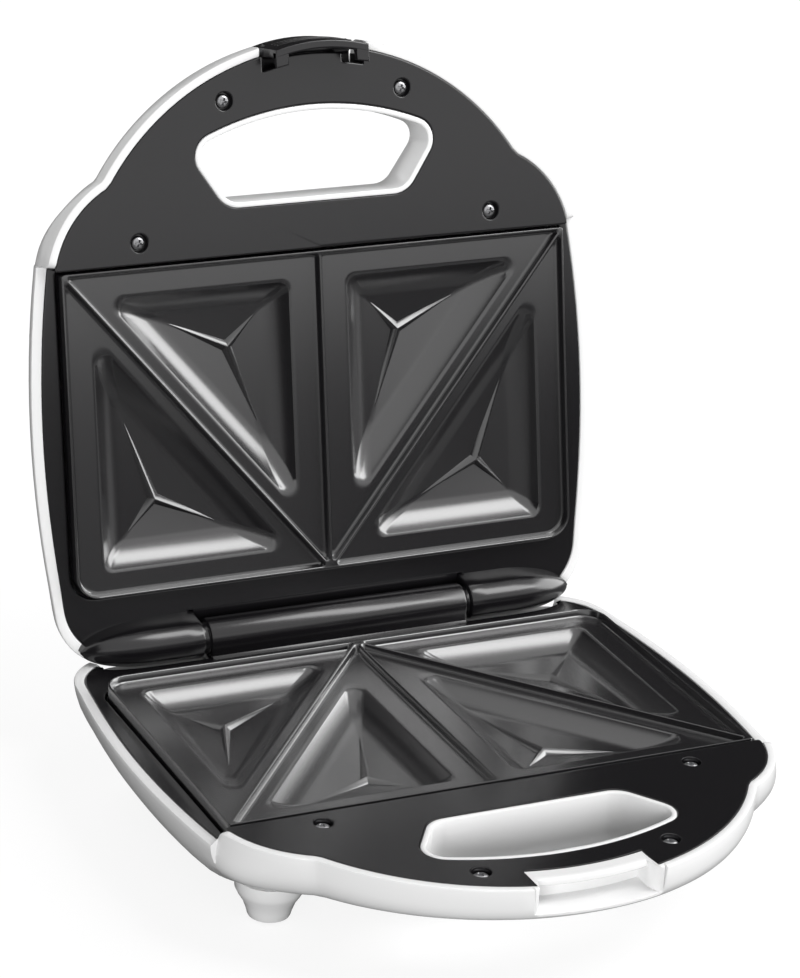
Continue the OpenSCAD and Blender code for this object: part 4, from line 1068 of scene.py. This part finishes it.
def triangles(t):
    """The four fields of a plate: floor outline, its corner radii, pocket outline."""
    plate = t.plate
    hub = Vector((0, -plate.back))
    corner = Vector((plate.width / 2, -plate.front))
    diag = (corner - hub).normalized()
    across = Vector((diag.y, -diag.x))
    x, y = Vector((1, 0)), Vector((0, 1))

    def inner(middle, front, gap):
        """The field between the centre ridge, the front edge and the diagonal."""
        line, e = hub.dot(across) + gap, front - plate.front
        return [Vector((middle, e)), meet(y, e, across, line), meet(x, middle, across, line)]

    def outer(side, back, gap):
        """The field between the side, the back edge and the diagonal."""
        line, m, b = hub.dot(across) - gap, plate.width / 2 - side, -plate.back - back
        return [Vector((m, b)), meet(y, b, across, line), meet(x, m, across, line)]

    c = plate.crest
    fields = [(inner(c / 2, c, c / 2), (1.6, 1.2, 1.2),
               inner(plate.pocket_side, plate.pocket_end, plate.pocket_diag)),
              (outer(c, c, c / 2), (plate.corner_r - 1, 1.2, 1.2),
               outer(plate.pocket_side, plate.pocket_end - 1.2, plate.pocket_diag))]
    return fields + [(mirrored(a), radii[::-1], mirrored(b)) for a, radii, b in fields]


def incircle(v):
    """Centre and radius of the circle inside a triangle."""
    a, b, c = (v[1] - v[2]).length, (v[2] - v[0]).length, (v[0] - v[1]).length
    s = (a + b + c) / 2
    return (a * v[0] + b * v[1] + c * v[2]) / (2 * s), math.sqrt((s - a) * (s - b) * (s - c) / s)


# wall of a pocket: parts of the bowl's width and depth
BOWL = ((0.03, 0.06), (0.07, 0.155), (0.14, 0.3), (0.24, 0.465), (0.36, 0.63), (0.48, 0.765),
        (0.6, 0.87), (0.73, 0.945), (0.87, 0.985), (1, 1))


def pocket(bm, t, ring, v):
    """A bowl from a ring on the plate's floor to its faceted middle."""
    plate = t.plate
    low = t.floor - plate.bowl_depth - plate.facet_fall
    outlines = [at(round_ring(v, inset, [plate.pocket_r] * 3), t.floor + z)
                for inset, z in ((-1.3, 0), (-1.0, 0), (-0.45, -0.06), (-0.05, -0.25))]
    for wide, deep in BOWL:
        inset = wide * plate.bowl_wall
        r = max(1.2, plate.pocket_r - inset * 0.3)
        outlines.append(at(round_ring(v, inset, [r] * 3), t.floor - deep * plate.bowl_depth))
    outlines.append(at(round_ring(v, incircle(v)[1] - 1.2, [0.4] * 3), low))
    fill(bm, loft(bm, outlines, ring)[-1])


def star(bm, t, v):
    """A scoring star: three roof-shaped arms from a pocket's middle towards its corners."""
    plate = t.plate
    middle, radius = incircle(v)
    reach = 1 - (plate.bowl_wall - 2.4) / radius
    foot_z = t.floor - plate.bowl_depth
    low = foot_z - plate.facet_fall
    rim = []
    for i in range(3):
        arm, after = v[i] - middle, v[(i + 1) % 3] - middle
        rim.append(Vector((*(middle + arm * reach), foot_z - 0.02)))
        between = (arm.normalized() + after.normalized()).normalized()
        rim.append(Vector((*(middle + between * plate.star_w), low + 0.25)))
    ring, foot = loft(bm, [rim, at(rim, low - 0.3)])
    fill(bm, foot)
    peak = Vector((*middle, foot_z + plate.star_h))
    tops = pull(bm, ring, [peak] * 6)
    bmesh.ops.remove_doubles(bm, verts=tops, dist=0.001)
    centre = min(bm.verts, key=lambda vert: (vert.co - peak).length)
    ridges = [e for e in centre.link_edges
              if (e.other_vert(centre).co - peak).xy.length > 2 * plate.star_w]
    bmesh.ops.bevel(bm, geom=ridges, offset=0.28, segments=2, profile=0.5, affect="EDGES",
                    material=-1)


def plate_mesh(t):
    """A cooking plate: lip and ridges, sunken floors, pockets and scoring stars."""
    plate = t.plate
    bm = bmesh.new()
    x = plate.width / 2
    corners = [Vector((-x, -plate.front)), Vector((x, -plate.front)),
               Vector((x, -plate.back)), Vector((-x, -plate.back))]
    radii = (1.2, 1.2, plate.corner_r, plate.corner_r)
    base_z = t.floor - plate.bowl_depth - plate.facet_fall - 0.6
    rings = loft(bm, [at(round_ring(corners, inset, radii), z) for inset, z in
                      ((0.3, t.top), (0.09, t.top - 0.09), (0, t.top - 0.3), (0, base_z))])
    fill(bm, rings[-1])
    crests = [rings[0]]
    run = plate.lip_run
    for field, corner_radii, bowl in triangles(t):
        outlines = []
        for inset, z in ((-0.28, 0), (-0.06, -0.1), (0.14, -0.35)):
            r = [c - max(inset, 0) for c in corner_radii]
            outlines.append(at(round_ring(field, inset, r), t.top + z))
        for inset, z in ((run - 0.35, 0.6), (run, 0.2), (run + 0.6, 0), (run + 0.9, 0)):
            r = [max(0.8, c - inset * 0.5) for c in corner_radii]
            outlines.append(at(round_ring(field, inset, r), t.floor + z))
        rings = loft(bm, outlines)
        crests.append(rings[0])
        pocket(bm, t, rings[-1], bowl)
    fill(bm, *crests)
    for _, _, bowl in triangles(t):
        star(bm, t, bowl)
    return bm


class TOASTER_OT_plates(bpy.types.Operator):
    """Cast and coat the two cooking plates"""

    bl_idname = "toaster.plates"
    bl_label = "Cooking plates"

    def execute(self, context):
        t = toaster(context.scene)
        grey = coated_aluminium(context.scene)
        for body in ("base", "lid"):
            add_piece(body + "_cooking_plate", plate_mesh(t), grey, body,
                      body + "_plate", 28)
        return {"FINISHED"}


# ---------------------------------------------------------------- latch and screws

class TOASTER_OT_latch(bpy.types.Operator):
    """Mould the arched latch clip with its hooks, sleeve and finger ridges"""

    bl_idname = "toaster.latch"
    bl_label = "Latch clip"

    def execute(self, context):
        t = toaster(context.scene)
        panel, inner = t.panel, t.clip_in_r
        outer, w = inner + panel.clip_t, panel.clip_w - 1.6
        bm = bmesh.new()

        def band(r0, r1, w0):
            """Outline between two radii, more arched than the casing's tip."""
            ways = [2 * i / 14 - 1 for i in range(15)]
            return [radial(t, x, r - 0.5 - 0.9 * (x / w) ** 2)
                    for r, side in ((r0, w0), (r1, -w0)) for x in [side * u for u in ways]]

        reach = panel.clip_reach + 2
        sheet(bm, band(inner, outer, w), reach, -(t.case.tip_t + 0.4), 0.5)
        for z in (-4.5, -1.5, 1.5):
            sheet(bm, band(outer - 0.4, outer + 0.4, w - 4), z + 0.5, z - 0.5, 0.3)
        # hooks, their catching faces slanted by the clip's swing
        low, slope = reach - 3, math.tan(CLIP_SWING)
        for s in (-1, 1):
            x0, x1 = sorted((s * (w - panel.hook_w), s * w))
            before = set(bm.verts)
            sheet(bm, [radial(t, x, r) for x, r in
                       ((x0, t.hook_in_r), (x1, t.hook_in_r), (x1, inner + 0.6),
                        (x0, inner + 0.6))], reach - 0.01, low, 0.4)
            for vert in set(bm.verts) - before:
                if vert.co.z < low + 0.1:
                    vert.co.z = low + (vert.co.y - (t.arch.y - inner + 2.2)) * slope
        end = w - 1.5
        lathe(bm, [(0, -end), (2.6, -end), (3, 0.4 - end), (3, end - 0.4), (2.6, end),
                   (0, end)], (1, 0, 0), (0, t.arch.y - t.pivot_r, PIN_Z), 36)
        add_piece("latch_hook_clip", bm, satin_abs(context.scene), "latch",
                  "latch_clip")
        return {"FINISHED"}


TURN = 20  # degrees that the screws' crosses are turned


def cross_recess(arm, width, steps=48):
    """Outline of a cross in polar steps."""
    points = []
    for i in range(steps):
        a = 90 - 360 * i / steps
        part = abs((a + 45) % 90 - 45)
        r = min(arm / cos(part), width / max(1e-6, sin(part)))
        points.append(Vector((r * cos(a + TURN), r * sin(a + TURN))))
    return points


def pan_screw(bm, t, spot):
    """A pan-head screw with a cross recess in its well."""
    head, z = t.panel.screw_d / 2, t.screw_low
    centre = Vector((*spot, 0))

    def lifted(points, height):
        return [centre + Vector((p.x, p.y, height)) for p in points]

    def disc(r, height):
        return lifted(circle((0, 0), r, 48, 90 + TURN), height)

    shank = loft(bm, [disc(head, z), disc(1.45, z), disc(1.45, z - 7), disc(0.5, z - 8)])
    fill(bm, shank[-1])
    cross = cross_recess(1.45, 0.42)
    outlines = [disc(head * r, z + h) for r, h in
                ((1, 0.6), (0.96, 1.05), (0.86, 1.4), (0.7, 1.65), (0.55, 1.77))]
    outlines += [lifted([p * part for p in cross], z + h)
                 for part, h in ((1, 1.82), (0.93, 1.7), (0.62, 0.75))]
    fill(bm, loft(bm, outlines, shank[0])[-1])


class TOASTER_OT_screws(bpy.types.Operator):
    """Turn the cross-head screws that hold the panels"""

    bl_idname = "toaster.screws"
    bl_label = "Panel screws"

    def execute(self, context):
        t = toaster(context.scene)
        # black oxide screws in a pale metal colour: a painted sheen on their heads
        dark = finish("black_oxide_painted_sheen", context.scene.toaster_colours.screw,
                      (0.28, 0.4, 1800.0), Metallic=1.0)
        for body in ("base", "lid"):
            bm = bmesh.new()
            for spot in t.screws:
                pan_screw(bm, t, spot)
            add_piece(body + "_cross_screws", bm, dark, body,
                      body + "_panel_screws", 40)
        return {"FINISHED"}


# ---------------------------------------------------------------- works

# finishes of the parts kept from the frame: name, colour, roughness, shader values, parts
WORKS = (
    ("oxidised_steel_sheath", "#6a6561", (0.4, 0.6, 700.0), {"Metallic": 0.8},
     ("base_heater", "lid_heater")),
    ("aluminised_sheet", "#c9cbcd", (0.2, 0.4, 300.0), {"Metallic": 1.0},
     ("base_reflector", "lid_reflector")),
    ("natural_nylon", "#e6e1d4", (0.4, 0.5, 900.0), {}, ("terminal_block",)),
    ("clear_red_acrylic", "#b3261e", (0.08, 0.14, 60.0),
     {"Transmission_Weight": 0.5, "IOR": 1.49}, ("power_lens",)),
    ("clear_green_acrylic", "#2f8a3c", (0.08, 0.14, 60.0),
     {"Transmission_Weight": 0.5, "IOR": 1.49}, ("ready_lens",)),
    ("neon_lamp_glass", "#f0c4a8", (0.02, 0.08, 90.0),
     {"Transmission_Weight": 0.8, "IOR": 1.5}, ("power_lamp", "ready_lamp")),
)
STEEL_PARTS = ("base_plate_screws", "lid_plate_screws", "base_thermostat",
               "base_thermal_fuse", "lid_thermal_fuse", "hinge_pins", "latch_pin")


class TOASTER_OT_works(bpy.types.Operator):
    """Give the parts inside and at the back their finishes"""

    bl_idname = "toaster.works"
    bl_label = "Works, bush and feet"

    def execute(self, context):
        rubber = finish("moulded_rubber", context.scene.toaster_colours.rubber,
                        (0.6, 0.8, 1500.0))
        finishes = [(plated_steel(context.scene), STEEL_PARTS),
                    (rubber, ("cord_bush", "foot_pads"))]
        finishes += [(finish(name, hex_colour(code), rough, **values), parts)
                     for name, code, rough, values, parts in WORKS]
        for material, parts in finishes:
            for part in parts:
                bpy.data.objects[part].material_slots[0].material = material
        return {"FINISHED"}


# ---------------------------------------------------------------- stage

def seen_directly(tree):
    """One where a camera, mirror or glass ray looks, and nought for the light itself."""
    path = node(tree, "ShaderNodeLightPath")
    one = node(tree, "ShaderNodeMath", [(0, path.outputs["Is Camera Ray"]),
                                        (1, path.outputs["Is Glossy Ray"])], operation="ADD")
    return node(tree, "ShaderNodeMath", [(0, one.outputs[0]),
                                         (1, path.outputs["Is Transmission Ray"])],
                operation="ADD", use_clamp=True).outputs[0]


def area(name, place, size, power, target):
    """A rectangular lamp that points at a target."""
    light = bpy.data.lights.new(name, "AREA")
    light.shape = "RECTANGLE"
    light.size, light.size_y = size
    light.energy = power
    lamp = bpy.data.objects.new(name, light)
    lamp.location = place
    lamp.rotation_euler = (Vector(place) - Vector(target)).to_track_quat("Z", "Y").to_euler()
    bpy.context.scene.collection.objects.link(lamp)
    return lamp


def stage_mesh(name, bm, grey, finish_name, **values):
    """A sheet of the stage in a matt grey that glows white; with the tree of its material."""
    mesh = bpy.data.meshes.new(name)
    bm.to_mesh(mesh)
    bm.free()
    thing = bpy.data.objects.new(name, mesh)
    bpy.context.scene.collection.objects.link(thing)
    material = bpy.data.materials.new(finish_name)
    material.use_nodes = True
    mesh.materials.append(material)
    set_values(material.node_tree.nodes["Principled BSDF"],
               {"Base_Color": (grey, grey, grey, 1), "Specular_IOR_Level": 0,
                "Emission_Color": (1, 1, 1, 1), **values})
    return thing, material.node_tree


def board(name, glow, places):
    """Upright cards, each by its place, turn, width and height, seen in reflections alone."""
    bm = bmesh.new()
    for place, turn, wide, high in places:
        stand = (Matrix.Translation(place) @ Matrix.Rotation(turn, 4, "Z")
                 @ Matrix.Rotation(math.pi / 2, 4, "X") @ Matrix.Diagonal((wide, high, 1, 1)))
        bmesh.ops.create_grid(bm, x_segments=1, y_segments=1, size=0.5, matrix=stand)
    card, _ = stage_mesh(name, bm, 0.004, name, Emission_Strength=glow)
    card.visible_camera = card.visible_diffuse = card.visible_shadow = False


class TOASTER_OT_stage(bpy.types.Operator):
    """Set up the pale floor, the soft light and the camera"""

    bl_idname = "toaster.stage"
    bl_label = "Stage"

    def execute(self, context):
        scene = context.scene
        scene.view_settings.view_transform = "Standard"
        # a white surrounding that lights softly and looks brighter than it lights
        scene.world = bpy.data.worlds.new("studio")
        scene.world.use_nodes = True
        tree = scene.world.node_tree
        sky = tree.nodes["Background"]
        sky.inputs["Color"].default_value = (1, 1, 1, 1)
        strength = node(tree, "ShaderNodeMapRange", [("Value", seen_directly(tree))],
                        To_Min=0.2, To_Max=1.0)
        tree.links.new(strength.outputs["Result"], sky.inputs["Strength"])

        # a floor that glows for the camera alone, so that the gloss doesn't pick it up
        bm = bmesh.new()
        bmesh.ops.create_grid(bm, x_segments=1, y_segments=1, size=6)
        _, tree = stage_mesh("floor", bm, 0.18, "pale_floor", Roughness=0.9)
        path = node(tree, "ShaderNodeLightPath")
        glow = node(tree, "ShaderNodeMapRange", [("Value", path.outputs["Is Camera Ray"])],
                    To_Min=0.0, To_Max=0.86)
        tree.links.new(glow.outputs["Result"],
                       tree.nodes["Principled BSDF"].inputs["Emission Strength"])

        area("overhead", (0.55, -0.4, 1.15), (0.5, 0.95), 9, (0, 0.05, 0.08))
        area("side", (1.3, -0.1, 0.65), (1.3, 1.0), 19, (0, 0.05, 0.12))
        front = area("front", (-1.0, -1.7, 0.4), (1.3, 0.8), 29, (0, 0.0, 0.05))
        back = area("back", (0.2, 1.8, 0.6), (1.4, 0.8), 15, (0, 0.1, 0.1))
        front.visible_glossy = back.visible_glossy = False

        # cards that only the gloss of the black parts shows: dark ones behind, to the left and
        # in front of the plate's right half, grey ones in front of its left half and the panel
        board("dark_cards", 0.03, (((0.8, 0.95, 0.8), 0, 1.8, 1.5),
                                   ((-0.9, -0.5, 0.5), 1.1, 1.4, 1.2),
                                   ((0.75, -0.5, 0.095), 0, 1.0, 0.19)))
        board("plate_card", 0.22, (((-0.2, -0.5, 0.095), 0, 0.9, 0.19),))
        board("panel_card", 1.1, (((0.3, -0.5, 0.265), 0, 1.6, 0.15),))

        lens = bpy.data.cameras.new("camera")
        lens.sensor_width = 24
        lens.lens = 90.3
        lens.clip_end = 20
        camera = bpy.data.objects.new("camera", lens)
        scene.collection.objects.link(camera)
        azimuth, elevation, distance = math.radians(-26.45), math.radians(22.25), 1.404
        target = HINGE + Vector((-0.00097, -0.0543, 0.0782))
        away = Vector((math.sin(azimuth) * math.cos(elevation),
                       -math.cos(azimuth) * math.cos(elevation), math.sin(elevation)))
        roll = Matrix.Rotation(math.radians(3.42), 3, "Z")
        turn = away.to_track_quat("Z", "Y").to_matrix() @ roll
        camera.matrix_world = Matrix.Translation(target + away * distance) @ turn.to_4x4()
        scene.camera = camera
        return {"FINISHED"}


# ---------------------------------------------------------------- add-on

class TOASTER_PT_sidebar(bpy.types.Panel):
    """Buttons that build the toaster step by step"""

    bl_idname = "TOASTER_PT_sidebar"
    bl_label = "Sandwich toaster"
    bl_space_type = "VIEW_3D"
    bl_region_type = "UI"
    bl_category = "Toaster"

    def draw(self, context):
        for operator in OPERATORS:
            self.layout.operator(operator.bl_idname)


GROUPS = (("toaster_case", CasingSizes), ("toaster_panel", PanelSizes),
          ("toaster_plate", PlateSizes), ("toaster_colours", ToasterColours))
OPERATORS = (TOASTER_OT_casings, TOASTER_OT_panels, TOASTER_OT_plates, TOASTER_OT_latch,
             TOASTER_OT_screws, TOASTER_OT_works, TOASTER_OT_stage)


def register():
    for name, group in GROUPS:
        bpy.utils.register_class(group)
        setattr(bpy.types.Scene, name, bpy.props.PointerProperty(type=group))
    for cls in (*OPERATORS, TOASTER_PT_sidebar):
        bpy.utils.register_class(cls)


def unregister():
    for cls in (TOASTER_PT_sidebar, *reversed(OPERATORS)):
        bpy.utils.unregister_class(cls)
    for name, group in reversed(GROUPS):
        delattr(bpy.types.Scene, name)
        bpy.utils.unregister_class(group)


def main():
    register()
    bpy.ops.toaster.casings()
    bpy.ops.toaster.panels()
    bpy.ops.toaster.plates()
    bpy.ops.toaster.latch()
    bpy.ops.toaster.screws()
    bpy.ops.toaster.works()
    bpy.ops.toaster.stage()


if __name__ == "__main__":
    main()
